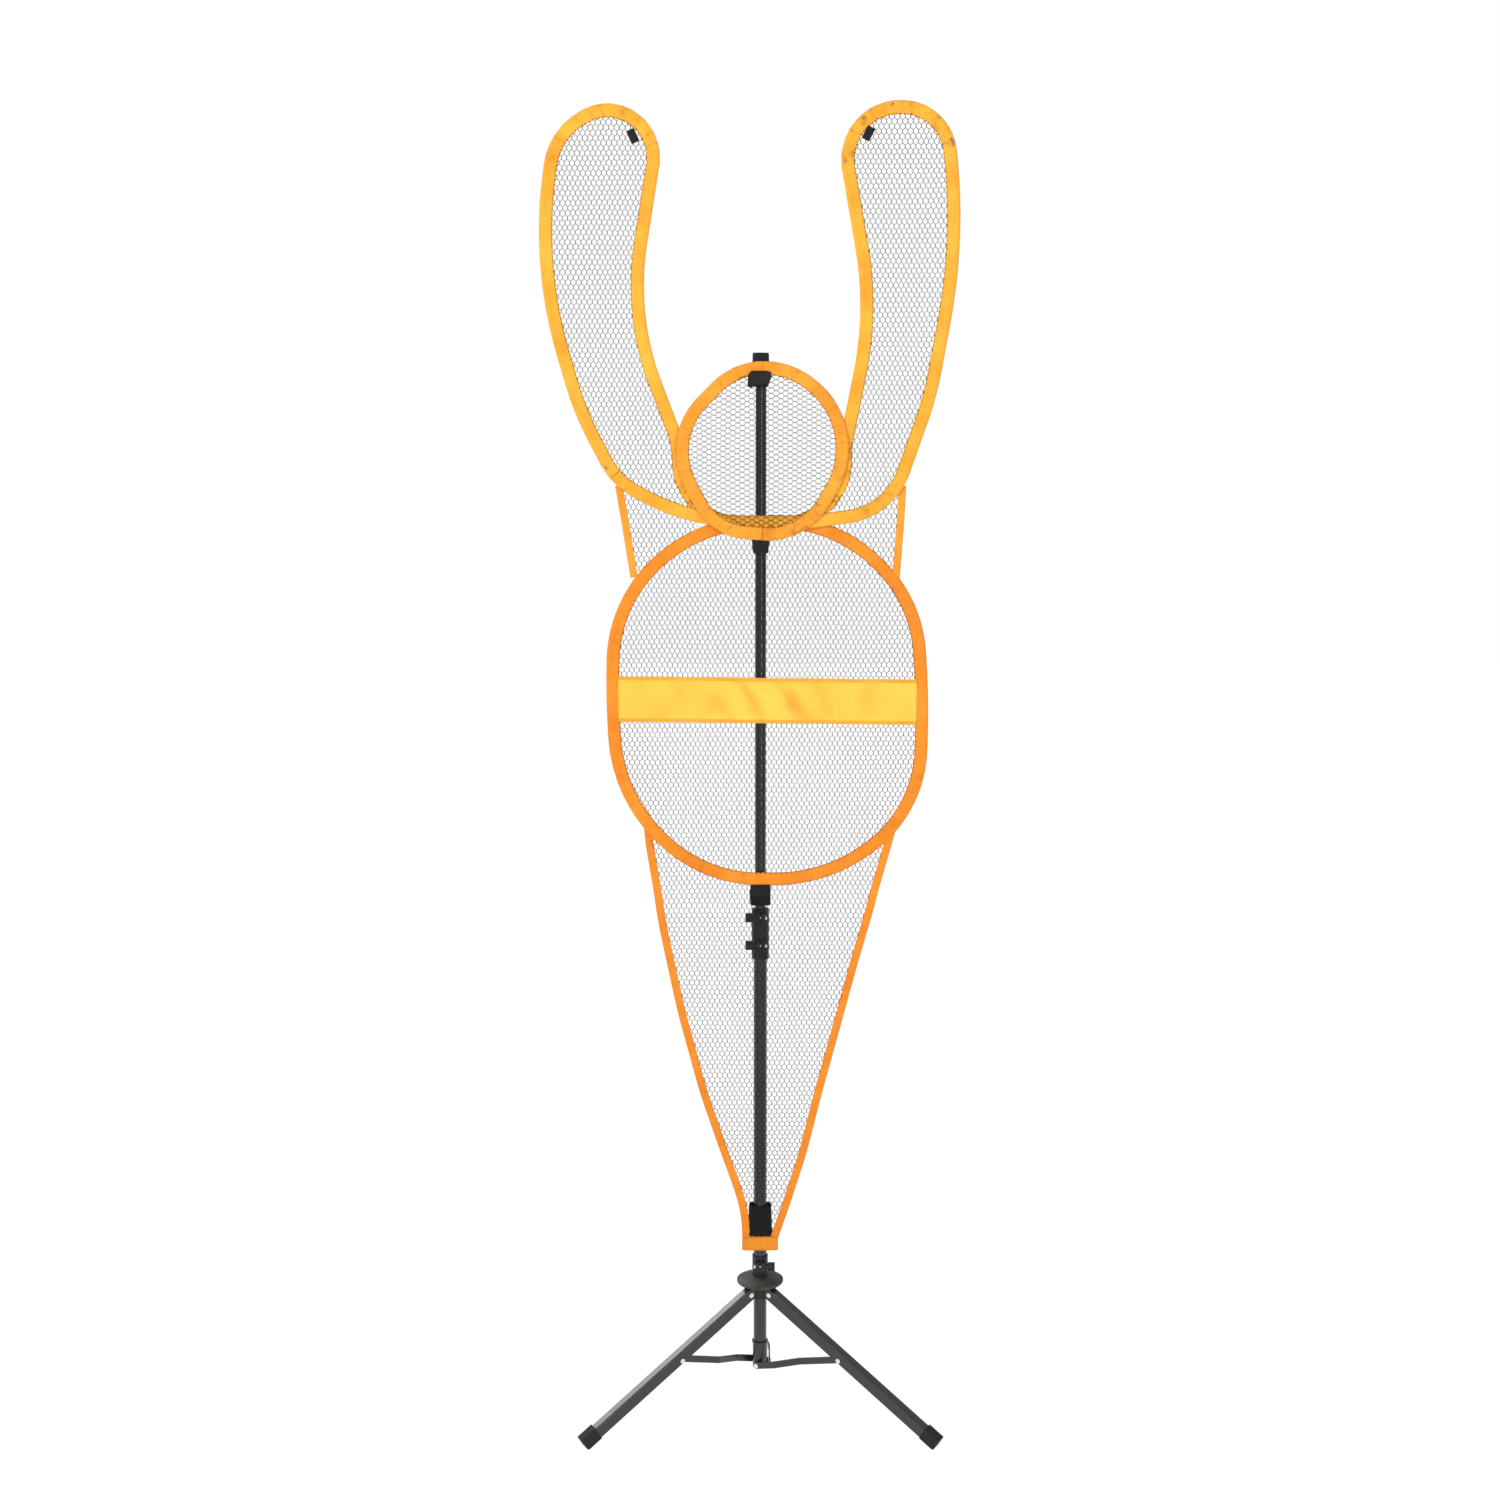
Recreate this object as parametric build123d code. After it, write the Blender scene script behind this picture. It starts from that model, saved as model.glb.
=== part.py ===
"""A free-standing ball-sports training dummy, in millimetres.

A net figure with raised arms hangs on a telescoping pole with a folding tripod. The figure faces -Y,
+X is to its left hand side as seen from the front, and +Z is up. The origin is on the floor, at the
middle of the footprint. Everything is built about the pole's axis first and moved there at the end.
"""

import os
from math import atan2, cos, degrees, hypot, radians, sin

from build123d import *

# Tubes
LOWER_TUBE_D = 22.0
LOWER_TUBE_WALL = 1.2
LOWER_TUBE_BOTTOM = 64.0
UPPER_TUBE_D = 18.0
UPPER_TUBE_WALL = 1.0
UPPER_TUBE_BOTTOM = 505.0
UPPER_TUBE_TOP = 1738.0
RUNNING_GAP = 0.05
GUIDE_BUSH_LENGTH = 25.0
CAP_HEIGHT = 4.0

# Split clamps
CLAMP_WALL = 3.3
CLAMP_BOTTOM = 770.0
CLAMP_STAGE = 41.5
CLAMP_SLOT = 2.0
EAR_HALF_WIDTH = 7.5
EAR_REACH = 21.0
EAR_HEIGHT = 16.0
BOLT_R = 2.5
BOLT_FORWARD = 16.5
BOLT_HEAD_R = 4.1
BOLT_HEAD_THICK = 3.5
BUSHING_GAP = 0.5
KNOB_REACH = 17.0
KNOB_BARREL_R = 4.1
KNOB_WING_R = 7.5
KNOB_WING_THICK = 3.2
KNOB_WING_START = 5.0

# Hub that slides on the lower tube
HUB_WALL = 2.0
HUB_SLIDE_GAP = 0.1
HUB_BOTTOM = 183.0
HUB_NECK_TOP = 258.0
HUB_BOLT_UP = 243.0
COVER_R = 39.0
COVER_BOTTOM = 210.0
COVER_RIM = 6.0
COVER_RISE = 7.0
FLANGE_THICK = 3.0
FLANGE_R = 30.0

# Legs, as inverted channels
LEG_BEARINGS = {"front_right": -30.0, "front_left": -150.0, "rear": 90.0}
LEG_PIVOT_R = 22.0
LEG_PIVOT_Z = 193.0
LEG_SLOPE = 31.0
LEG_LENGTH = 350.0
LEG_WIDTH = 16.0
LEG_DEPTH = 19.0
LEG_WALL = 1.2
LEG_CORNER = 2.5
LUG_R = 7.0
LUG_GAP = 0.1
RIVET_R = 2.2
RIVET_HEAD_R = 4.0
RIVET_HEAD_THICK = 1.4
RIVET_GAP = 0.05

# Rubber feet
FOOT_START = 332.0
FOOT_END = 361.0
FOOT_WIDTH = 20.0
FOOT_DEPTH = 23.0

# Spreader struts, joggled from beside the collar into the leg channels
STRUT_ALONG_LEG = 156.0
STRUT_BELOW_LEG = 5.0
STRUT_THICK = 2.5
STRUT_HEIGHT = 11.0
STRUT_OUTER_OFFSET = -3.0
JOGGLE_START = 34.0
JOGGLE_END = 78.0
COLLAR_TOP = 106.0
COLLAR_BOTTOM = 60.0
COLLAR_WALL = 1.4
COLLAR_RIM = 1.2
COLLAR_RIM_HEIGHT = 3.0
COLLAR_PIVOT_R = 2.5
COLLAR_PIVOT_Z = 67.0
BOSS_R = 6.5
BOSS_PROUD = 2.0
OPEN_PIVOT_GAP = 0.3

# Cloth layers, front (-Y) faces and thicknesses
BINDING_WIDTH = 21.0
BINDING_THICK = 5.0
NET_THICK = 1.0
TORSO_FRONT = -16.0
ARMS_FRONT = TORSO_FRONT - NET_THICK - BINDING_THICK
HEAD_FRONT = ARMS_FRONT - BINDING_THICK
WIRE_R = 1.5
WIRE_INSET = 5.0
EDGE_WIDTH = 13.0
EDGE_THICK = 3.0
SEAM_LAP = 10.0

# Outlines as corners (x, z) with the radius that rounds each one
HEAD_OUTLINE = [
    (-35, 1742, 117), (-157, 1621, 119), (-121, 1539, 140), (-80, 1461, 100),
    (72, 1449, 113), (123, 1534, 129), (170, 1641, 134), (57, 1727, 126),
]
TORSO_OUTLINE = [
    (-91, 1489, 246), (-245, 1373, 232), (-249, 1196, 1400), (-241, 1034, 262), (-93, 895, 232),
    (111, 895, 258), (267, 1012, 214), (272, 1197, 1400), (259, 1361, 227), (119, 1500, 244),
]
ARMS_OUTLINE = [
    (-113, 1473, 370), (-237, 1542, 127), (-295, 1654, 489), (-360, 1884, 652), (-328, 2084, 108),
    (-129, 2199, 81), (-195, 1805, 405), (-120, 1608, 160), (-118, 1493, 86),
    (122, 1493, 86), (124, 1608, 160), (164, 1812, 500), (107, 2126, 89),
    (294, 2131, 86), (319, 1918, 880), (277, 1679, 505), (212, 1491, 118), (73, 1473, 250),
]
# An arm's net ends at this share of the neck's half width, and turns towards it with this radius
NECK_POINT = 0.7
NECK_TURN_R = 90.0
SHOULDER_LEFT = [(-231, 1540), (-221, 1480), (-208, 1395), (-20, 1395), (-20, 1540)]
SHOULDER_RIGHT = [(231, 1540), (228, 1480), (222, 1395), (20, 1395), (20, 1540)]
SKIRT_TOP = 985.0
HEM_BOTTOM = 270.0
HEM_TOP = 295.0
HEM_WIDTH = 60.0
HEM_DEPTH = 30.0
HEM_WALL = 1.5
HEM_POCKET_TOP = 347.0
HEM_POCKET_WIDTH = 38.0
HEM_POCKET_DEPTH = 26.0
# The skirt's sides (x, z), from its top to its hem
SKIRT_LEFT_SIDE = [(-191, SKIRT_TOP), (-164, 820), (-136, 685), (-100, 548), (-64, 438), (-40, 368), (-31, 330),
                   (-30, HEM_TOP)]
SKIRT_RIGHT_SIDE = [(220, SKIRT_TOP), (189, 873), (159, 766), (131, 658), (102, 548), (76, 438), (51, 355),
                    (30, HEM_TOP)]
# How far in front of the pole the skirt hangs, from its top to its hem
SKIRT_FALL = [(-16.5, SKIRT_TOP), (-16.5, 893), (-26, 846), (-26, 760), (-15, 350), (-15, HEM_TOP)]

# Band, straps, pockets and tabs
BAND_BOTTOM = 1161.0
BAND_TOP = 1235.0
STRAP_WIDTH = 30.0
STRAP_BACK = 11.0
NECK_STRAP = (1434.0, 1468.0)
WAIST_STRAP = (860.0, 905.0)
STRAP_GAP = 0.3
POCKET_TOP = 1747.0
POCKET_BOTTOM = 1696.0
POCKET_WIDTH = 24.0
POCKET_DEPTH = 12.0
HEAD_PATCH = [(-17, 1718), (-21, 1712), (-21, 1694), (8, 1696), (14, 1706), (16, 1718)]
PATCH_THICK = 2.0
SNAP_R = 2.6
SNAP_HEIGHT = 0.8
TAB_SIZE = (13.0, 23.0)
TAB_THICK = 1.5
LEFT_TAB = (-198.0, 2075.0, -25.0)
RIGHT_TAB = (166.0, 2079.0, 28.0)

TALL = 3000.0
nodes = {}


def bar(size, center):
    return Pos(*center) * Box(*size)


def rod(radius, bottom, top, x=0.0, y=0.0):
    """An upright cylinder between two heights."""
    return Pos(x, y, (bottom + top) / 2) * Cylinder(radius, top - bottom)


def pipe(outer, inner, bottom, top):
    return rod(outer, bottom, top) - rod(inner, bottom, top)


def rod_x(radius, start, end, y, z):
    """A cylinder along X between two x values."""
    return Pos((start + end) / 2, y, z) * Rot(0, 90, 0) * Cylinder(radius, abs(end - start))


def rod_y(radius, start, end, x, z):
    """A cylinder along Y between two y values."""
    return Pos(x, (start + end) / 2, z) * Rot(90, 0, 0) * Cylinder(radius, abs(end - start))


def turned(shape, bearing):
    """A shape built in a leg's own upright plane, turned to that leg's bearing."""
    return Rot(0, 0, bearing) * shape


def inset(outline, by):
    """The same rounded outline, moved inwards; corners run clockwise or anticlockwise."""
    points = [Vector(x, z) for x, z, _ in outline]
    count = len(points)
    area = sum(
        points[i - 1].X * points[i].Y - points[i].X * points[i - 1].Y for i in range(count)
    )
    side = 1 if area > 0 else -1
    moved = []
    for i in range(count):
        before = (points[i] - points[i - 1]).normalized()
        after = (points[(i + 1) % count] - points[i]).normalized()
        turn = side * (before.X * after.Y - before.Y * after.X)
        first = Vector(-before.Y, before.X) * side
        second = Vector(-after.Y, after.X) * side
        corner = points[i] + (first + second) * (by / (1 + first.dot(second)))
        radius = outline[i][2] - by if turn > 0 else outline[i][2] + by
        moved.append((corner.X, corner.Y, max(radius, 1.0)))
    return moved


def rounded(outline):
    """The closed line of straight runs and tangent arcs round an outline, in the plane y = 0."""
    corners = [(x, 0, z) for x, z, _ in outline]
    return FilletPolyline(*corners, radius=[r for _, _, r in outline], close=True)


def slab(face, front, thick):
    """A face in the plane y = 0, made solid from its front backwards."""
    return extrude(Pos(0, front + thick, 0) * face, amount=thick, dir=(0, -1, 0))


def filled(outline, front, thick):
    return slab(make_face(rounded(outline).edges()), front, thick)


def straight_slab(corners, front, thick):
    line = Polyline(*[(x, 0, z) for x, z in corners], close=True)
    return slab(make_face(line.edges()), front, thick)


def hoop(name, outline, front, openings):
    """A sprung wire loop inside its fabric binding, which goes round one or more openings."""
    path = rounded(inset(outline, WIRE_INSET))
    middle = front + BINDING_THICK / 2
    path = Pos(0, middle, 0) * Wire(path.edges())
    wire = sweep(Plane(origin=path @ 0, z_dir=path % 0) * Circle(WIRE_R), path=path)
    ring = filled(outline, front, BINDING_THICK)
    for opening in openings:
        ring -= filled(opening, front, BINDING_THICK)
    nodes[f"{name}_hoop_wire"] = wire
    nodes[f"{name}_binding"] = ring - wire


def make_pole():
    outer = LOWER_TUBE_D / 2
    inner = outer - LOWER_TUBE_WALL
    seat = CLAMP_BOTTOM + CLAMP_STAGE
    nodes["lower_tube"] = pipe(outer, inner, LOWER_TUBE_BOTTOM, seat)
    plug = rod(outer, COLLAR_BOTTOM, LOWER_TUBE_BOTTOM) + rod(inner, COLLAR_BOTTOM, LOWER_TUBE_BOTTOM + 16)
    nodes["tube_end_plug"] = plug
    make_collar(outer)
    make_pole_clamp(outer, seat)


def make_collar(outer):
    sleeve = outer + COLLAR_WALL
    collar = pipe(sleeve, outer, COLLAR_BOTTOM, COLLAR_TOP)
    collar += pipe(sleeve + COLLAR_RIM, outer, COLLAR_TOP - COLLAR_RIM_HEIGHT, COLLAR_TOP)
    for bearing in LEG_BEARINGS.values():
        boss = rod_y(BOSS_R, -(sleeve + BOSS_PROUD), 0, COLLAR_PIVOT_R, COLLAR_PIVOT_Z)
        collar += turned(boss, bearing)
    nodes["spreader_collar"] = collar - rod(outer, 0, COLLAR_TOP)


def ears(height):
    """The two clamp ears in front of a split clamp, before the slot is cut."""
    return bar((2 * EAR_HALF_WIDTH, EAR_REACH, EAR_HEIGHT), (0, -EAR_REACH / 2, height))


def slot_and_bolt_hole(height, bottom, top):
    cut = bar((CLAMP_SLOT, EAR_REACH + 1, top - bottom), (0, -(EAR_REACH + 1) / 2, (bottom + top) / 2))
    return cut + rod_x(BOLT_R, -EAR_REACH, EAR_REACH, -BOLT_FORWARD, height)


def clamp_bolt(height, head_side):
    """A bolt along X through a clamp's ears, with its head on one side and its thread on the other."""
    head = head_side * EAR_HALF_WIDTH
    tip = -head_side * (EAR_HALF_WIDTH + KNOB_REACH - 1)
    bolt = rod_x(BOLT_R, head, tip, -BOLT_FORWARD, height)
    return bolt + rod_x(BOLT_HEAD_R, head, head + head_side * BOLT_HEAD_THICK, -BOLT_FORWARD, height)


def wing_knob(height, side):
    """A wing nut on the bolt's end; its wings stand clear of the clamp's body."""
    face = side * (EAR_HALF_WIDTH + RUNNING_GAP)
    end = face + side * KNOB_REACH
    knob = rod_x(KNOB_BARREL_R, face, end, -BOLT_FORWARD, height)
    start = face + side * KNOB_WING_START
    wings = rod_x(KNOB_WING_R, start, end, -BOLT_FORWARD, height)
    length = KNOB_REACH
    wings &= bar((4 * length, KNOB_WING_THICK, 2 * KNOB_WING_R), (0, -BOLT_FORWARD, height))
    return knob + wings - rod_x(BOLT_R + RUNNING_GAP, 0, 2 * end, -BOLT_FORWARD, height)


def make_pole_clamp(outer, seat):
    """Its lower stage grips the lower tube; its upper stage grips the bushing round the upper tube."""
    body = outer + CLAMP_WALL
    top = CLAMP_BOTTOM + 2 * CLAMP_STAGE
    heights = [CLAMP_BOTTOM + 0.6 * CLAMP_STAGE, seat + 0.72 * CLAMP_STAGE]
    clamp = rod(body, CLAMP_BOTTOM, top)
    for height in heights:
        clamp += ears(height)
    bush = outer - BUSHING_GAP
    clamp -= rod(outer, CLAMP_BOTTOM, seat)
    clamp -= rod(bush, seat, top)
    for height in heights:
        clamp -= slot_and_bolt_hole(height, height - EAR_HEIGHT / 2, height + EAR_HEIGHT / 2)
    nodes["pole_clamp"] = clamp
    nodes["clamp_bushing"] = pipe(bush, UPPER_TUBE_D / 2 + RUNNING_GAP, seat, top)
    nodes["pole_clamp_bolts"] = Compound([clamp_bolt(height, 1).solid() for height in heights])
    nodes["lower_clamp_knob"] = wing_knob(heights[0], -1)
    nodes["upper_clamp_knob"] = wing_knob(heights[1], -1)


def make_hub():
    bore = LOWER_TUBE_D / 2 + HUB_SLIDE_GAP
    sleeve = bore + HUB_WALL
    hub = rod(sleeve, HUB_BOTTOM, HUB_NECK_TOP)
    hub += rod(FLANGE_R, COVER_BOTTOM - FLANGE_THICK, COVER_BOTTOM)
    hub += ears(HUB_BOLT_UP)
    lug_width = LEG_WIDTH - 2 * (LEG_WALL + LUG_GAP)
    for bearing in LEG_BEARINGS.values():
        lug = rod_y(LUG_R, -lug_width / 2, lug_width / 2, LEG_PIVOT_R, LEG_PIVOT_Z)
        lug += bar((LEG_PIVOT_R, lug_width, 2 * LUG_R), (LEG_PIVOT_R / 2, 0, LEG_PIVOT_Z))
        rib_top = COVER_BOTTOM - FLANGE_THICK
        rib = bar((LEG_PIVOT_R - 4, lug_width / 2, rib_top - LEG_PIVOT_Z),
                  ((LEG_PIVOT_R - 4) / 2, 0, (rib_top + LEG_PIVOT_Z) / 2))
        hole = rod_y(RIVET_R, -LEG_WIDTH, LEG_WIDTH, LEG_PIVOT_R, LEG_PIVOT_Z)
        hub += turned(lug + rib, bearing)
        hub -= turned(hole, bearing)
    hub -= rod(bore, 0, HUB_NECK_TOP + 1)
    slot_bottom = HUB_BOLT_UP - EAR_HEIGHT
    hub -= slot_and_bolt_hole(HUB_BOLT_UP, slot_bottom, HUB_NECK_TOP + 1)
    nodes["hub_body"] = hub
    nodes["hub_clamp_bolt"] = clamp_bolt(HUB_BOLT_UP, -1)
    nodes["hub_wing_knob"] = wing_knob(HUB_BOLT_UP, 1)
    make_cover(sleeve)


def make_cover(sleeve):
    """A domed disc that sits on the hub's flange."""
    rim_top = COVER_BOTTOM + COVER_RIM
    crown = rim_top + COVER_RISE
    profile = Polyline((sleeve, COVER_BOTTOM), (COVER_R - 2, COVER_BOTTOM), (COVER_R, COVER_BOTTOM + 2),
                       (COVER_R, rim_top - 1), (COVER_R - 1.5, rim_top))
    dome = ThreePointArc((COVER_R - 1.5, rim_top), (COVER_R * 0.62, rim_top + COVER_RISE * 0.72),
                         (sleeve, crown))
    side = Line((sleeve, crown), (sleeve, COVER_BOTTOM))
    face = make_face(profile.edges() + dome.edges() + side.edges())
    cover = revolve(Plane.XZ * face, axis=Axis.Z)
    nodes["hub_cover"] = cover - ears(HUB_BOLT_UP)


def from_leg(shape):
    """A shape built along +X from the leg pivot, moved to the leg's plane and slope."""
    return Pos(LEG_PIVOT_R, 0, LEG_PIVOT_Z) * Rot(0, LEG_SLOPE, 0) * shape


def leg_rivet(radius, half, x, z):
    """A rivet along Y whose two heads stand just off the leg's sides."""
    shank = rod_y(radius, -half, half, x, z)
    for side in (-1, 1):
        shank += rod_y(RIVET_HEAD_R, side * half, side * (half + RIVET_HEAD_THICK), x, z)
    return shank


def strut_ends():
    """The inner and outer pivots of a strut, as (r, z) in the leg's plane."""
    slope = radians(LEG_SLOPE)
    outer_r = LEG_PIVOT_R + STRUT_ALONG_LEG * cos(slope) - STRUT_BELOW_LEG * sin(slope)
    outer_z = LEG_PIVOT_Z - STRUT_ALONG_LEG * sin(slope) - STRUT_BELOW_LEG * cos(slope)
    return (COLLAR_PIVOT_R, COLLAR_PIVOT_Z), (outer_r, outer_z)


def make_leg():
    """One leg's pieces in its own upright plane, with the pole at x = 0."""
    half = LEG_DEPTH / 2
    length = LEG_LENGTH + half
    blank = bar((length, LEG_WIDTH, LEG_DEPTH), (length / 2 - half, 0, 0))
    blank = fillet(blank.edges().filter_by(Axis.X).group_by(Axis.Z)[-1], LEG_CORNER)
    hollow = bar((length, LEG_WIDTH - 2 * LEG_WALL, LEG_DEPTH), (length / 2 - half, 0, -LEG_WALL))
    ends = rod_y(half, -LEG_WIDTH, LEG_WIDTH, 0, 0)
    ends += bar((LEG_LENGTH, 2 * LEG_WIDTH, LEG_DEPTH), (LEG_LENGTH / 2, 0, 0))
    channel = (blank - hollow) & ends
    channel -= rod_y(RIVET_R + RIVET_GAP, -LEG_WIDTH, LEG_WIDTH, 0, 0)
    channel -= rod_y(RIVET_R, -LEG_WIDTH, LEG_WIDTH, STRUT_ALONG_LEG, -STRUT_BELOW_LEG)
    foot_length = FOOT_END - FOOT_START
    foot = bar((foot_length, FOOT_WIDTH, FOOT_DEPTH), (FOOT_START + foot_length / 2, 0, 0))
    foot = fillet(foot.edges().filter_by(Axis.X), 3)
    socket = bar((LEG_LENGTH, LEG_WIDTH, LEG_DEPTH), (LEG_LENGTH / 2, 0, 0))
    socket = fillet(socket.edges().filter_by(Axis.X).group_by(Axis.Z)[-1], LEG_CORNER)
    socket -= bar((LEG_LENGTH, LEG_WIDTH - 2 * LEG_WALL, LEG_DEPTH), (LEG_LENGTH / 2, 0, -LEG_WALL))
    foot = from_leg(foot - socket) & bar((TALL, TALL, TALL), (0, 0, TALL / 2))
    outside = LEG_WIDTH / 2 + RIVET_GAP
    return {
        "leg": from_leg(channel),
        "foot": foot,
        "leg_pivot_rivet": from_leg(leg_rivet(RIVET_R, outside, 0, 0)),
        "strut_leg_rivet": from_leg(leg_rivet(RIVET_R, LEG_WIDTH / 2, STRUT_ALONG_LEG, -STRUT_BELOW_LEG)),
    }


def make_strut():
    """A flat bar from the collar boss into the leg channel, and the rivet at its inner end."""
    (inner_r, inner_z), (outer_r, outer_z) = strut_ends()
    length = hypot(outer_r - inner_r, outer_z - inner_z)
    boss_face = -(LOWER_TUBE_D / 2 + COLLAR_WALL + BOSS_PROUD)
    inside = boss_face - OPEN_PIVOT_GAP - STRUT_THICK / 2
    end = STRUT_HEIGHT / 2
    path = [(-end, inside), (JOGGLE_START, inside), (JOGGLE_END, STRUT_OUTER_OFFSET),
            (length + end, STRUT_OUTER_OFFSET)]
    lean = (STRUT_OUTER_OFFSET - inside) / (JOGGLE_END - JOGGLE_START)
    shift = STRUT_THICK / 2 * (hypot(1, lean) - 1) / lean
    half = STRUT_THICK / 2
    front = [(path[0][0], path[0][1] - half), (path[1][0] + shift, path[1][1] - half),
             (path[2][0] + shift, path[2][1] - half), (path[3][0], path[3][1] - half)]
    back = [(path[3][0], path[3][1] + half), (path[2][0] - shift, path[2][1] + half),
            (path[1][0] - shift, path[1][1] + half), (path[0][0], path[0][1] + half)]
    plan = make_face(Polyline(*(front + back), close=True).edges())
    strut = Pos(0, 0, -end) * extrude(plan, amount=STRUT_HEIGHT, dir=(0, 0, 1))
    side = bar((length, 60, STRUT_HEIGHT), (length / 2, 0, 0))
    for x in (0, length):
        side += rod_y(end, -30, 30, x, 0)
    strut &= side
    strut -= rod_y(RIVET_R + RIVET_GAP, -30, 30, length, 0)
    strut -= rod_y(RIVET_R, -30, 30, 0, 0)
    outer_face = inside - half
    rivet = rod_y(RIVET_R, outer_face, inside + half, 0, 0)
    rivet += rod_y(RIVET_HEAD_R, outer_face - RIVET_HEAD_THICK, outer_face, 0, 0)
    slope = degrees(atan2(outer_z - inner_z, outer_r - inner_r))
    place = Pos(inner_r, 0, inner_z) * Rot(0, -slope, 0)
    return {"strut": place * strut, "strut_collar_rivet": place * rivet}


def make_tripod():
    pieces = make_leg() | make_strut()
    for leg, bearing in LEG_BEARINGS.items():
        for name, piece in pieces.items():
            nodes[f"{name}_{leg}"] = turned(piece, bearing)


def make_upper_tube():
    outer = UPPER_TUBE_D / 2
    inner = outer - UPPER_TUBE_WALL
    nodes["upper_tube"] = pipe(outer, inner, UPPER_TUBE_BOTTOM, UPPER_TUBE_TOP)
    cap = rod(outer, UPPER_TUBE_TOP, UPPER_TUBE_TOP + CAP_HEIGHT)
    nodes["upper_tube_cap"] = cap + rod(inner, UPPER_TUBE_TOP - 14, UPPER_TUBE_TOP)
    bush = LOWER_TUBE_D / 2 - LOWER_TUBE_WALL - RUNNING_GAP
    nodes["upper_tube_guide"] = pipe(bush, outer, UPPER_TUBE_BOTTOM, UPPER_TUBE_BOTTOM + GUIDE_BUSH_LENGTH)


def tube_way(bottom, top):
    """The room that a strap or a pocket leaves for the upper tube."""
    return rod(UPPER_TUBE_D / 2 + STRAP_GAP, bottom, top)


def make_head():
    inner = inset(HEAD_OUTLINE, BINDING_WIDTH)
    hoop("head", HEAD_OUTLINE, HEAD_FRONT, [inner])
    nodes["head_net"] = filled(inner, HEAD_FRONT + (BINDING_THICK - NET_THICK) / 2, NET_THICK)
    back = HEAD_FRONT + BINDING_THICK
    depth = POCKET_DEPTH - back
    pocket = bar((POCKET_WIDTH, depth, POCKET_TOP - POCKET_BOTTOM),
                 (0, POCKET_DEPTH - depth / 2, (POCKET_TOP + POCKET_BOTTOM) / 2))
    nodes["head_patch"] = straight_slab(HEAD_PATCH, HEAD_FRONT - PATCH_THICK, PATCH_THICK)
    nodes["head_pocket"] = pocket - tube_way(0, UPPER_TUBE_TOP + CAP_HEIGHT)


def arm_opening(corners, neck, bottom):
    """One arm's net, whose lower inner end runs to a point between the neck and the bottom binding."""
    (x0, z0, _), (x1, z1, _) = bottom
    tip = neck[0] * NECK_POINT
    tip_z = z0 + (z1 - z0) * (tip - x0) / (x1 - x0)
    turn = (neck[0], tip_z + abs(neck[0] - tip), NECK_TURN_R)
    return corners + [turn, (tip, tip_z, 1)]


def make_arms():
    inner = inset(ARMS_OUTLINE, BINDING_WIDTH)
    left = arm_opening(inner[1:8], inner[8], inner[:2])
    right = arm_opening(inner[16:9:-1], inner[9], [inner[17], inner[16]])
    hoop("arms", ARMS_OUTLINE, ARMS_FRONT, [left, right])
    net_front = ARMS_FRONT + (BINDING_THICK - NET_THICK) / 2
    for name, opening, (x, z, lean) in (("left", left, LEFT_TAB), ("right", right, RIGHT_TAB)):
        nodes[f"arm_net_{name}"] = filled(opening, net_front, NET_THICK)
        tab = bar((TAB_SIZE[0], TAB_THICK, TAB_SIZE[1]), (0, net_front - TAB_THICK / 2, 0))
        tab = Pos(x, 0, z) * Rot(0, lean, 0) * tab
        nodes[f"hand_tab_{name}"] = tab & filled(opening, ARMS_FRONT, BINDING_THICK)


def make_torso():
    inner = inset(TORSO_OUTLINE, BINDING_WIDTH)
    hoop("torso", TORSO_OUTLINE, TORSO_FRONT, [inner])
    net_front = TORSO_FRONT + (BINDING_THICK - NET_THICK) / 2
    neck_bottom, neck_top = NECK_STRAP
    neck_depth = STRAP_BACK - ARMS_FRONT
    neck = bar((STRAP_WIDTH, neck_depth, neck_top - neck_bottom),
               (0, STRAP_BACK - neck_depth / 2, (neck_bottom + neck_top) / 2))
    nodes["torso_net"] = filled(inner, net_front, NET_THICK) - neck
    band = filled(inner, net_front - NET_THICK, NET_THICK)
    limits = bar((TALL, TALL, BAND_TOP - BAND_BOTTOM), (0, 0, (BAND_TOP + BAND_BOTTOM) / 2))
    nodes["chest_band"] = band & limits
    nodes["neck_strap"] = neck - tube_way(neck_bottom, neck_top)
    waist_bottom, waist_top = WAIST_STRAP
    waist_depth = STRAP_BACK - TORSO_FRONT
    waist = bar((STRAP_WIDTH + 4, waist_depth, waist_top - waist_bottom),
                (0, STRAP_BACK - waist_depth / 2, (waist_bottom + waist_top) / 2))
    waist -= filled(TORSO_OUTLINE, TORSO_FRONT, BINDING_THICK)
    nodes["waist_strap"] = waist - tube_way(waist_bottom, waist_top)
    nodes["waist_snap"] = rod_y(SNAP_R, TORSO_FRONT - SNAP_HEIGHT, TORSO_FRONT, -10, 885)


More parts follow.
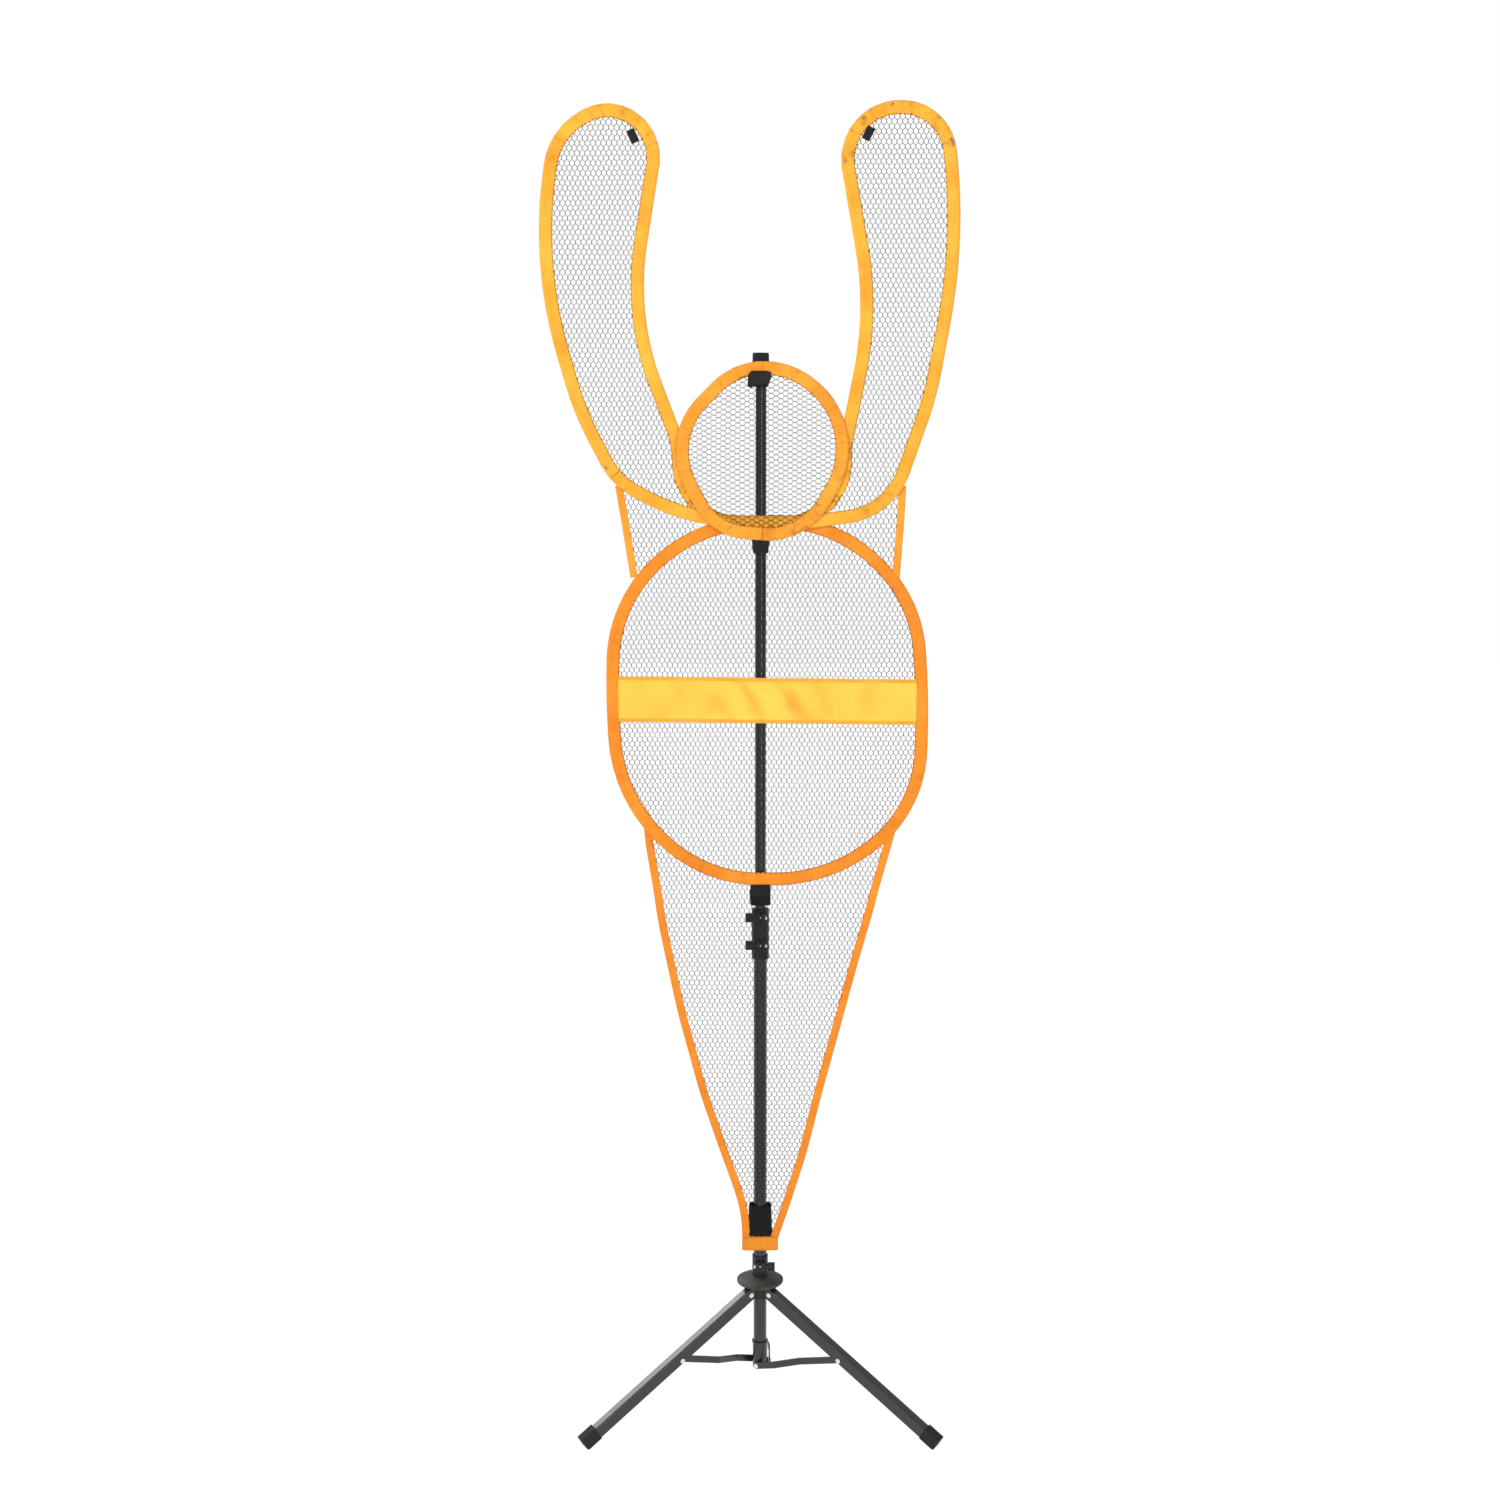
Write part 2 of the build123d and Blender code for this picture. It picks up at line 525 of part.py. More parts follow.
def make_shoulders():
    """The net between the arms and the torso, with a bound edge at each side."""
    front = ARMS_FRONT + BINDING_THICK
    lap = filled(inset(TORSO_OUTLINE, SEAM_LAP), front - 9, 30) + filled(inset(ARMS_OUTLINE, SEAM_LAP), front - 9, 30)
    hoops = filled(TORSO_OUTLINE, front - 9, 30) + filled(ARMS_OUTLINE, front - 9, 30)
    for name, corners, side in (("left", SHOULDER_LEFT, 1), ("right", SHOULDER_RIGHT, -1)):
        whole = straight_slab(corners, front, NET_THICK)
        moved = [(x + side * EDGE_WIDTH, z) for x, z in corners[:3]] + corners[3:]
        net = straight_slab(moved, front, NET_THICK) - lap
        nodes[f"shoulder_net_{name}"] = max(net.solids(), key=lambda s: s.volume)
        strip = [*corners[:3], *reversed(moved[:3])]
        edge = straight_slab(strip, front - NET_THICK, EDGE_THICK) - hoops
        nodes[f"shoulder_edge_{name}"] = max(edge.solids(), key=lambda s: s.volume)


def skirt_outline(narrower):
    """The skirt from the front, which narrows unevenly to its hem."""
    left = Spline(*[(x + narrower, 0, z) for x, z in SKIRT_LEFT_SIDE])
    right = Spline(*[(x - narrower, 0, z) for x, z in reversed(SKIRT_RIGHT_SIDE)])
    hem = Line(left @ 1, right @ 0)
    top = Line(right @ 1, left @ 0)
    return make_face(left.edges() + hem.edges() + right.edges() + top.edges())


def skirt_sheet(thick):
    """The folded sheet that the skirt lies in, seen from the side and drawn across its width."""
    front = [(0, y - thick / 2, z) for y, z in SKIRT_FALL]
    back = [(0, y + thick / 2, z) for y, z in reversed(SKIRT_FALL)]
    face = make_face(Polyline(*(front + back), close=True).edges())
    return Pos(-TALL / 2, 0, 0) * extrude(face, amount=TALL, dir=(1, 0, 0))


def make_skirt():
    lap = filled(inset(TORSO_OUTLINE, SEAM_LAP), -60, 120)
    torso = filled(TORSO_OUTLINE, -60, 120)
    whole = slab(skirt_outline(0), -60, 60)
    middle = slab(skirt_outline(EDGE_WIDTH), -60, 60)
    nodes["skirt_net"] = (skirt_sheet(NET_THICK) & middle) - lap
    edges = (skirt_sheet(EDGE_THICK) & (whole - middle)) - torso
    left, right = sorted(edges.solids(), key=lambda s: s.volume)[-2:]
    if left.center().X > right.center().X:
        left, right = right, left
    nodes["skirt_edge_left"] = left
    nodes["skirt_edge_right"] = right


def flat_sleeve(width, depth, wall, bottom, top):
    """An upright sleeve with rounded ends."""
    height = top - bottom
    outer = extrude(SlotOverall(width, depth), amount=height)
    inner = extrude(SlotOverall(width - 2 * wall, depth - 2 * wall), amount=height)
    return Pos(0, 0, bottom) * (outer - inner)


def make_hem():
    nodes["hem_sleeve"] = flat_sleeve(HEM_WIDTH, HEM_DEPTH, HEM_WALL, HEM_BOTTOM, HEM_TOP)
    pocket = flat_sleeve(HEM_POCKET_WIDTH, HEM_POCKET_DEPTH, HEM_WALL, HEM_TOP, HEM_POCKET_TOP)
    nodes["hem_pocket"] = pocket


def footprint_center():
    """The middle of the box round everything, seen from above."""
    boxes = [shape.bounding_box() for shape in nodes.values()]
    x = min(b.min.X for b in boxes) + max(b.max.X for b in boxes)
    y = min(b.min.Y for b in boxes) + max(b.max.Y for b in boxes)
    return x / 2, y / 2


def save():
    os.makedirs("parts", exist_ok=True)
    x, y = footprint_center()
    for name, shape in nodes.items():
        solids = [Pos(-x, -y, 0) * solid for solid in shape.solids()]
        whole = solids[0] if len(solids) == 1 else Compound(children=solids)
        export_step(whole, f"parts/{name}.step")
    print(f"pole axis at x = {-x:.3f}, y = {-y:.3f}")


make_pole()
make_hub()
make_tripod()
make_upper_tube()
make_head()
make_arms()
make_torso()
make_shoulders()
make_skirt()
make_hem()
save()
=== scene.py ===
"""Looks of the free-standing training dummy: sprung hoops with fabric bindings and knitted net panels.

Lengths in this file are in millimetres about the pole's axis, until place() turns them into metres in the
frame. The figure faces -Y.
"""

import math

import bmesh
import bpy
from mathutils import Matrix, Vector, noise


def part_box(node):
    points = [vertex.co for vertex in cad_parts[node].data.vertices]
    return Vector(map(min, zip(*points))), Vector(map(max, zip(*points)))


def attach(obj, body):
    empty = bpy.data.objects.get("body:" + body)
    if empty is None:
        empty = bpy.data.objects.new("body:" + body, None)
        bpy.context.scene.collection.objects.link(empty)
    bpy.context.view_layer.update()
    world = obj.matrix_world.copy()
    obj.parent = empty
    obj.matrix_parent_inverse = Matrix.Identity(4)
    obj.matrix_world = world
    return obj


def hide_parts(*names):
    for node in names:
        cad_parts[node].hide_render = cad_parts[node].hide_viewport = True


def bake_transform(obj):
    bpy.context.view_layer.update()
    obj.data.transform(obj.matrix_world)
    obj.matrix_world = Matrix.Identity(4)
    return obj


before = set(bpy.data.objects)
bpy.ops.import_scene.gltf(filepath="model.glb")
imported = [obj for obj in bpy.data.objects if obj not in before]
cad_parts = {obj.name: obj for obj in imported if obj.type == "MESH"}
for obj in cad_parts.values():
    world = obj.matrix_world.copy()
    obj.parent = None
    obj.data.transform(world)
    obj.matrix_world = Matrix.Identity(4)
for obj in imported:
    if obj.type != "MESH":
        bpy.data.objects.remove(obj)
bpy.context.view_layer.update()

MM = 0.001
tube_low, tube_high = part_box("lower_tube")
POLE = Vector(((tube_low[0] + tube_high[0]) / 2, (tube_low[1] + tube_high[1]) / 2, 0))

# Hoop outlines, as corners (x, z) with the radius that rounds each one
HEAD_OUTLINE = [
    (-35, 1742, 117), (-157, 1621, 119), (-121, 1539, 140), (-80, 1461, 100),
    (72, 1449, 113), (123, 1534, 129), (170, 1641, 134), (57, 1727, 126),
]
TORSO_OUTLINE = [
    (-91, 1489, 246), (-245, 1373, 232), (-249, 1196, 1400), (-241, 1034, 262), (-93, 895, 232),
    (111, 895, 258), (267, 1012, 214), (272, 1197, 1400), (259, 1361, 227), (119, 1500, 244),
]
ARMS_OUTLINE = [
    (-113, 1473, 370), (-237, 1542, 127), (-295, 1654, 489), (-360, 1884, 652), (-328, 2084, 108),
    (-129, 2199, 81), (-195, 1805, 405), (-120, 1608, 160), (-118, 1493, 86),
    (122, 1493, 86), (124, 1608, 160), (164, 1812, 500), (107, 2126, 89),
    (294, 2131, 86), (319, 1918, 880), (277, 1679, 505), (212, 1491, 118), (73, 1473, 250),
]
SHOULDER_LEFT = [(-231, 1540), (-221, 1480), (-208, 1395), (-60, 1395), (-60, 1540)]
SHOULDER_RIGHT = [(231, 1540), (228, 1480), (222, 1395), (60, 1395), (60, 1540)]

# The cloth's layers, as the middle of each one's depth in front of the pole
HEAD_DEPTH = -24.5
ARMS_DEPTH = -19.5
TORSO_DEPTH = -13.5
SHOULDER_DEPTH = -14.6
BAND_DEPTH = -15.0

BINDING_WIDTH = 21.0
ROLL_HALF = 2.5
EDGE_WIDTH = 12.0
UNDER_BINDING = 7.0

# The knitted net: six-sided holes between thick upright strands and thin slanting ones
CELL_WIDTH = 8.2
CELL_ROW = 7.5
CELL_PEAK = 1.75
STRAND_WIDTH = 0.55
HOLE_NARROWING = 0.93
NET_THICK = 0.7

# The skirt's sides (x, z) and how far it hangs in front of the pole (y, z)
SKIRT_LEFT = [
    (-190, 1010), (-189, 975), (-164, 820), (-136, 685), (-100, 548), (-64, 438), (-40, 368), (-31, 330), (-30, 292),
]
SKIRT_RIGHT = [
    (226, 1010), (218, 978), (189, 873), (159, 766), (131, 658), (102, 548), (76, 438), (51, 355), (30, 292),
]
SKIRT_FALL = [(-13.5, 1010), (-14.5, 893), (-25.5, 846), (-25.5, 545), (-16, 350), (-15, 295)]
BAND_BOTTOM = 1161.5
BAND_TOP = 1235.0
BAND_LEAN = -0.011


def place(x, y, z):
    """A point about the pole's axis, in millimetres, as a point of the frame in metres."""
    return POLE + Vector((x, y, z)) * MM


# ---------------------------------------------------------------- materials

# The lock stitches by a folded tape's inner edge
STITCH_PITCH = 7.5
STITCH_LENGTH = 3.2
STITCH_LINE = 19.3
STITCH_HALF_WIDTH = 0.75

# A wave texture's scale is this much over its spacing, in metres
WAVE_SPACING = 0.314

# The inputs of a colour Mix node
FACTOR, FIRST, SECOND = 0, 6, 7
MIXED = 2


def linear(hex_colour):
    """An sRGB hex colour as linear red, green, blue and alpha."""
    channels = [int(hex_colour[i:i + 2], 16) / 255 for i in (0, 2, 4)]
    return [c / 12.92 if c <= 0.04045 else ((c + 0.055) / 1.055) ** 2.4 for c in channels] + [1.0]


def add(tree, kind, values=None, links=None, stops=(), **settings):
    """Adds a node with its settings, input values, links from other sockets, and a ramp's colour stops."""
    made = tree.nodes.new(kind)
    for name, value in settings.items():
        setattr(made, name, value)
    for name, value in (values or {}).items():
        made.inputs[name].default_value = value
    for name, socket in (links or {}).items():
        tree.links.new(socket, made.inputs[name])
    while stops and len(made.color_ramp.elements) < len(stops):
        made.color_ramp.elements.new(0.5)
    for stop, (position, colour) in enumerate(stops):
        made.color_ramp.elements[stop].position = position
        made.color_ramp.elements[stop].color = linear(colour)
    return made


def blank(name):
    """A material with only its output node, and its node tree."""
    made = bpy.data.materials.new(name)
    made.use_nodes = True
    made.node_tree.nodes.clear()
    return made, made.node_tree


def finish_surface(tree, colour, height, bump_mm, strength, values):
    """The shader and output: a colour, a height that becomes bump, and the surface's constants."""
    bump = add(tree, "ShaderNodeBump", {"Strength": strength, "Distance": bump_mm * MM}, {"Height": height})
    shader = add(tree, "ShaderNodeBsdfPrincipled", values, {"Base Color": colour, "Normal": bump.outputs["Normal"]})
    add(tree, "ShaderNodeOutputMaterial", links={"Surface": shader.outputs["BSDF"]})


def woven_tape(name, dark, middle, light, sheen, roughness, thread_mm=0.9, stitched=True):
    """Woven polyester tape: fine ribs, cloudy dye, painted shade in its creases, a dark line on its sewn seams,
    and dark lock stitches by its inner edge.

    The UV map runs along the tape (U) and across it (V), in metres.
    """
    made, tree = blank(name)
    uv = add(tree, "ShaderNodeTexCoord").outputs["UV"]
    ribs = add(tree, "ShaderNodeTexWave", {"Scale": WAVE_SPACING / (thread_mm * MM), "Distortion": 0.6},
               {"Vector": uv}, wave_type="BANDS", bands_direction="X")
    threads = add(tree, "ShaderNodeTexWave", {"Scale": WAVE_SPACING / (1.4 * thread_mm * MM), "Distortion": 0.8},
                  {"Vector": uv}, wave_type="BANDS", bands_direction="Y")
    clouds = add(tree, "ShaderNodeTexNoise", {"Scale": 14.0, "Detail": 5.0, "Roughness": 0.65}, {"Vector": uv})
    colour = add(tree, "ShaderNodeValToRGB", links={"Fac": clouds.outputs["Fac"]},
                 stops=[(0.3, dark), (0.5, middle), (0.72, light)]).outputs["Color"]
    weave = add(tree, "ShaderNodeMath", links={0: ribs.outputs["Fac"], 1: threads.outputs["Fac"]},
                operation="MULTIPLY")
    shade = add(tree, "ShaderNodeMapRange", {"To Min": 0.9, "To Max": 1.03}, {"Value": weave.outputs[0]})
    colour = add(tree, "ShaderNodeMix", {FACTOR: 1.0}, {FIRST: colour, SECOND: shade.outputs[0]},
                 data_type="RGBA", blend_type="MULTIPLY").outputs[MIXED]
    # Painted shade: the crease attribute darkens the tape towards a shadowed tone in its creases, and on its sewn
    # seams
    crease = add(tree, "ShaderNodeAttribute", attribute_name="crease")
    shadowed = [c * 0.55 for c in linear(dark)[:3]] + [1.0]
    colour = add(tree, "ShaderNodeMix", {SECOND: shadowed}, {FACTOR: crease.outputs["Fac"], FIRST: colour},
                 data_type="RGBA").outputs[MIXED]
    height = weave.outputs[0]
    if stitched:
        where = add(tree, "ShaderNodeSeparateXYZ", links={"Vector": uv})
        stitch = stitches(tree, where.outputs["X"], where.outputs["Y"])
        colour = add(tree, "ShaderNodeMix", {SECOND: linear("2A1A10")}, {FACTOR: stitch, FIRST: colour},
                     data_type="RGBA").outputs[MIXED]
        height = add(tree, "ShaderNodeMath", links={0: height, 1: stitch}, operation="SUBTRACT").outputs[0]
    finish_surface(tree, colour, height, 0.3, 0.5, {
        "Roughness": roughness, "Sheen Weight": sheen, "Sheen Roughness": 0.4, "Specular IOR Level": 0.3})
    return made


def stitches(tree, along, across):
    """1 on the dashes of the stitch line by a folded tape's inner edge, on its front and its back."""
    dashes = add(tree, "ShaderNodeMath", {1: STITCH_PITCH * MM}, {0: along}, operation="MODULO")
    dashes = add(tree, "ShaderNodeMath", {1: STITCH_LENGTH * MM}, {0: dashes.outputs[0]}, operation="LESS_THAN")
    folded = add(tree, "ShaderNodeMath", {1: BINDING_WIDTH * MM}, {0: across}, operation="PINGPONG")
    row = add(tree, "ShaderNodeMath", {1: STITCH_LINE * MM, 2: STITCH_HALF_WIDTH * MM}, {0: folded.outputs[0]},
              operation="COMPARE")
    stitch = add(tree, "ShaderNodeMath", links={0: dashes.outputs[0], 1: row.outputs[0]}, operation="MULTIPLY")
    return stitch.outputs[0]


def satin(name, dark, middle, light):
    """Polyester satin: smooth, with a soft stretched gloss, a fine grain of floating threads, and painted shade in
    its folds.
    """
    made, tree = blank(name)
    uv = add(tree, "ShaderNodeTexCoord").outputs["UV"]
    grain = add(tree, "ShaderNodeTexWave", {"Scale": WAVE_SPACING / (0.6 * MM), "Distortion": 1.0}, {"Vector": uv},
                wave_type="BANDS", bands_direction="Y")
    clouds = add(tree, "ShaderNodeTexNoise", {"Scale": 7.0, "Detail": 3.0}, {"Vector": uv})
    colour = add(tree, "ShaderNodeValToRGB", links={"Fac": clouds.outputs["Fac"]},
                 stops=[(0.3, middle), (0.62, light)]).outputs["Color"]
    # Painted shade: the crease attribute darkens the satin towards amber in its folds
    crease = add(tree, "ShaderNodeAttribute", attribute_name="crease")
    colour = add(tree, "ShaderNodeMix", {SECOND: linear(dark)}, {FACTOR: crease.outputs["Fac"], FIRST: colour},
                 data_type="RGBA").outputs[MIXED]
    finish_surface(tree, colour, grain.outputs["Fac"], 0.08, 0.35, {
        "Roughness": 0.42, "Sheen Weight": 0.25, "Sheen Roughness": 0.35, "Specular IOR Level": 0.45})
    return made


def knitted_yarn(name, dark, light):
    """Black polyester yarn: matt, slightly hairy, a little lighter where it catches the light."""
    made, tree = blank(name)
    where = add(tree, "ShaderNodeTexCoord").outputs["Object"]
    loops = add(tree, "ShaderNodeTexWave", {"Scale": WAVE_SPACING / (1.3 * MM), "Distortion": 2.0},
                {"Vector": where}, wave_type="BANDS", bands_direction="Z")
    fuzz = add(tree, "ShaderNodeTexNoise", {"Scale": 900.0, "Detail": 2.0}, {"Vector": where})
    colour = add(tree, "ShaderNodeValToRGB", links={"Fac": fuzz.outputs["Fac"]}, stops=[(0.35, dark), (0.7, light)])
    finish_surface(tree, colour.outputs["Color"], loops.outputs["Fac"], 0.25, 0.6, {
        "Roughness": 0.85, "Specular IOR Level": 0.12})
    return made


def powder_coat(name, dark, light, roughness):
    """Powder coat on steel: an even orange-peel skin about a millimetre across, with faint rubbed marks."""
    made, tree = blank(name)
    where = add(tree, "ShaderNodeTexCoord").outputs["Object"]
    peel = add(tree, "ShaderNodeTexNoise", {"Scale": 1 / (1.1 * MM), "Detail": 2.0, "Roughness": 0.5},
               {"Vector": where})
    rubs = add(tree, "ShaderNodeTexNoise", {"Scale": 45.0, "Detail": 6.0, "Roughness": 0.7}, {"Vector": where})
    colour = add(tree, "ShaderNodeValToRGB", links={"Fac": rubs.outputs["Fac"]}, stops=[(0.35, dark), (0.75, light)])
    rough = add(tree, "ShaderNodeMapRange", {"To Min": roughness - 0.06, "To Max": roughness + 0.1},
                {"Value": rubs.outputs["Fac"]})
    bump = add(tree, "ShaderNodeBump", {"Strength": 0.25, "Distance": 0.1 * MM}, {"Height": peel.outputs["Fac"]})
    shader = add(tree, "ShaderNodeBsdfPrincipled", {"Coat Weight": 0.4, "Coat Roughness": 0.16}, {
        "Base Color": colour.outputs["Color"], "Roughness": rough.outputs[0], "Normal": bump.outputs["Normal"]})
    add(tree, "ShaderNodeOutputMaterial", links={"Surface": shader.outputs["BSDF"]})
    return made


def moulded(name, dark, light, grit_mm, roughness, bump_mm):
    """Moulded nylon or rubber: fine sparked grain from the mould, cloudy where it has been handled."""
    made, tree = blank(name)
    where = add(tree, "ShaderNodeTexCoord").outputs["Object"]
    grit = add(tree, "ShaderNodeTexVoronoi", {"Scale": 1 / (grit_mm * MM)}, {"Vector": where})
    rubs = add(tree, "ShaderNodeTexNoise", {"Scale": 60.0, "Detail": 5.0}, {"Vector": where})
    colour = add(tree, "ShaderNodeValToRGB", links={"Fac": rubs.outputs["Fac"]}, stops=[(0.35, dark), (0.7, light)])
    finish_surface(tree, colour.outputs["Color"], grit.outputs["Distance"], bump_mm, 0.4, {
        "Roughness": roughness, "Specular IOR Level": 0.4})
    return made


def plated(name, dark, light, roughness):
    """Zinc plate or spring steel: bright metal with a fine cloudy grain and handling marks."""
    made, tree = blank(name)
    where = add(tree, "ShaderNodeTexCoord").outputs["Object"]
    grain = add(tree, "ShaderNodeTexNoise", {"Scale": 1 / (0.8 * MM), "Detail": 3.0}, {"Vector": where})
    colour = add(tree, "ShaderNodeValToRGB", links={"Fac": grain.outputs["Fac"]}, stops=[(0.3, dark), (0.7, light)])
    finish_surface(tree, colour.outputs["Color"], grain.outputs["Fac"], 0.05, 0.3, {
        "Metallic": 1.0, "Roughness": roughness})
    return made


# The bindings: bright matt orange cloth with painted light, the arms' tape a lit gold copy and the head's
# and shoulders' a half-lit amber copy of the torso's orange, and the plain hems of the sleeve and the band
LIT_GOLD_TAPE = woven_tape("polyester tape painted lit gold", "EE9C1E", "F8AE2C", "FFC23E", 0.12, 0.6)
HALF_LIT_AMBER_TAPE = woven_tape("polyester tape painted half-lit amber", "EC8E1A", "F6A026", "FDB034", 0.12, 0.6)
ORANGE_TAPE = woven_tape("orange polyester tape", "EC8010", "F68F18", "FD9D26", 0.12, 0.6)
HEM_TAPE = woven_tape("orange hem tape", "E58414", "F0901C", "F69C2A", 0.12, 0.6, stitched=False)
BAND_HEM_TAPE = woven_tape("golden hem stitching", "EE9E22", "F6AE2C", "FBBC3C", 0.12, 0.6, stitched=False)
# Coarse ribs on dull black, which the straps, pockets and tabs show
WEBBING = woven_tape("black woven webbing", "0E0D0D", "171616", "262322", 0.1, 0.75, 1.3, stitched=False)
# The brightest cloth: it shines softly along its folds, with painted shade that turns them amber in their depths
YELLOW_SATIN = satin("yellow polyester satin", "EE9E26", "F2BC38", "F8CC44")
# Dull near-black threads that vanish to a grey haze from afar
NET_YARN = knitted_yarn("black knitted polyester", "141212", "2B2726")
# Satin black steel with a long soft highlight, a little greyer on the folded legs
TUBE_COAT = powder_coat("black powder-coated tube", "121010", "1C1918", 0.24)
LEG_COAT = powder_coat("black powder-coated channel", "161413", "221F1D", 0.26)
# Mould-grained fittings: duller than the tubes, the cover greyer, and the feet duller still
NYLON = moulded("black moulded nylon", "141312", "232120", 0.35, 0.46, 0.06)
COVER_NYLON = moulded("grey-black moulded cover", "2E2B29", "403C39", 0.45, 0.55, 0.06)
RUBBER = moulded("black moulded rubber", "0F0F0F", "1C1B1A", 0.6, 0.7, 0.1)
# Small bright points on the rivets, bolts and snap, and the dark springs inside the bindings
ZINC = plated("zinc-plated steel", "C4C6C8", "F2F2F0", 0.22)
SPRING_STEEL = plated("spring steel", "6E6E70", "8E8E90", 0.35)


# ---------------------------------------------------------------- outlines


def inset(outline, by):
    """The same rounded outline moved inwards; its corners run clockwise or anticlockwise."""
    points = [Vector((x, z)) for x, z, _ in outline]
    count = len(points)
    area = sum(points[i - 1].cross(points[i]) for i in range(count))
    side = 1 if area > 0 else -1
    moved = []
    for i in range(count):
        before = (points[i] - points[i - 1]).normalized()
        after = (points[(i + 1) % count] - points[i]).normalized()
        first = Vector((-before.y, before.x)) * side
        second = Vector((-after.y, after.x)) * side
        corner = points[i] + (first + second) * (by / (1 + first.dot(second)))
        radius = outline[i][2] - by if side * before.cross(after) > 0 else outline[i][2] + by
        moved.append((corner.x, corner.y, max(radius, 1.0)))
    return moved


def rounded(outline, step):
    """Points evenly spaced round a closed outline of straight runs and arcs, about step apart."""
    count = len(outline)
    fine = []
    for i in range(count):
        corner = Vector(outline[i][:2])
        before = (corner - Vector(outline[i - 1][:2])).normalized()
        after = (Vector(outline[(i + 1) % count][:2]) - corner).normalized()
        turn = math.atan2(before.cross(after), before.dot(after))
        radius = outline[i][2]
        start = corner - before * (radius * math.tan(abs(turn) / 2))
        inward = Vector((-before.y, before.x)) * math.copysign(1, turn)
        center = start + inward * radius
        parts = max(3, math.ceil(radius * abs(turn)))
        for k in range(parts + 1):
            angle = turn * k / parts
            arm = start - center
            fine.append(center + Vector((arm.x * math.cos(angle) - arm.y * math.sin(angle),
                                         arm.x * math.sin(angle) + arm.y * math.cos(angle))))
    return spaced(fine + fine[:1], step)[:-1]


def spaced(line, step):
    """Points evenly spaced along an open line, both ends kept."""
    lengths = [(b - a).length for a, b in zip(line, line[1:])]
    total = sum(lengths)
    count = max(2, round(total / step))
    result = []
    piece = 0
    passed = 0.0
    for k in range(count):
        target = total * k / count
        while piece < len(lengths) - 1 and passed + lengths[piece] < target:
            passed += lengths[piece]
            piece += 1
        share = (target - passed) / max(lengths[piece], 1e-9)
        result.append(line[piece].lerp(line[piece + 1], min(share, 1)))
    return result + [line[-1].copy()]


def inside(x, z, polygon):
    """Is a point inside a closed polygon of (x, z) points?"""
    found = False
    last = polygon[-1]
    for point in polygon:
        if (point[1] > z) != (last[1] > z):
            if x < (last[0] - point[0]) * (z - point[1]) / (last[1] - point[1]) + point[0]:
                found = not found
        last = point
    return found


# ---------------------------------------------------------------- meshes


def to_object(name, mesh_data, material, smooth=True):
    """A finished bmesh as an object in the scene."""
    bmesh.ops.recalc_face_normals(mesh_data, faces=mesh_data.faces)
    mesh = bpy.data.meshes.new(name)
    mesh_data.to_mesh(mesh)
    mesh_data.free()
    mesh.materials.append(material)
    if smooth:
        mesh.shade_smooth()
    made = bpy.data.objects.new(name, mesh)
    bpy.context.scene.collection.objects.link(made)
    return made


def surface(name, along, across, shape, size, material, cap=False):
    """A grid bent by shape(u, v) into a sheet, tube or ring, with doubled seams merged.

    u and v run from 0 to 1. size is the length along and across in millimetres, for the UV map. Where shape
    gives a fourth number, it says how deep in a crease the point lies, and the materials paint shade there.
    """
    work = bmesh.new()
    bmesh.ops.create_grid(work, x_segments=along, y_segments=across, size=1)
    uv = work.loops.layers.uv.new("UVMap")
    crease = work.verts.layers.float.new("crease")
    share = {v: ((v.co.x + 1) / 2, (v.co.y + 1) / 2) for v in work.verts}
    for face in work.faces:
        for loop in face.loops:
            u, v = share[loop.vert]
            loop[uv].uv = (u * size[0] * MM, v * size[1] * MM)
    for vert, (u, v) in share.items():
        x, y, z, *fold = shape(u, v)
        vert.co = place(x, y, z)
        vert[crease] = fold[0] if fold else 0.0
    bmesh.ops.remove_doubles(work, verts=work.verts, dist=0.01 * MM)
    if cap:
        bmesh.ops.holes_fill(work, edges=[e for e in work.edges if e.is_boundary], sides=0)
    return to_object(name, work, material)


# Half of a folded tape's section, as (share of its width in from the rolled edge, share of its half thickness)
TAPE_SECTION = [(0, 0), (0.03, 0.34), (0.09, 0.72), (0.17, 0.95), (0.26, 1.0), (0.35, 0.88), (0.46, 0.62),
                (0.62, 0.48), (0.82, 0.44), (0.95, 0.36), (1, 0)]

# How many points to each side a tape's bend is measured over, and how fast the bend gathers its cloth
BEND_REACH = 6
BEND_GATHER = 95


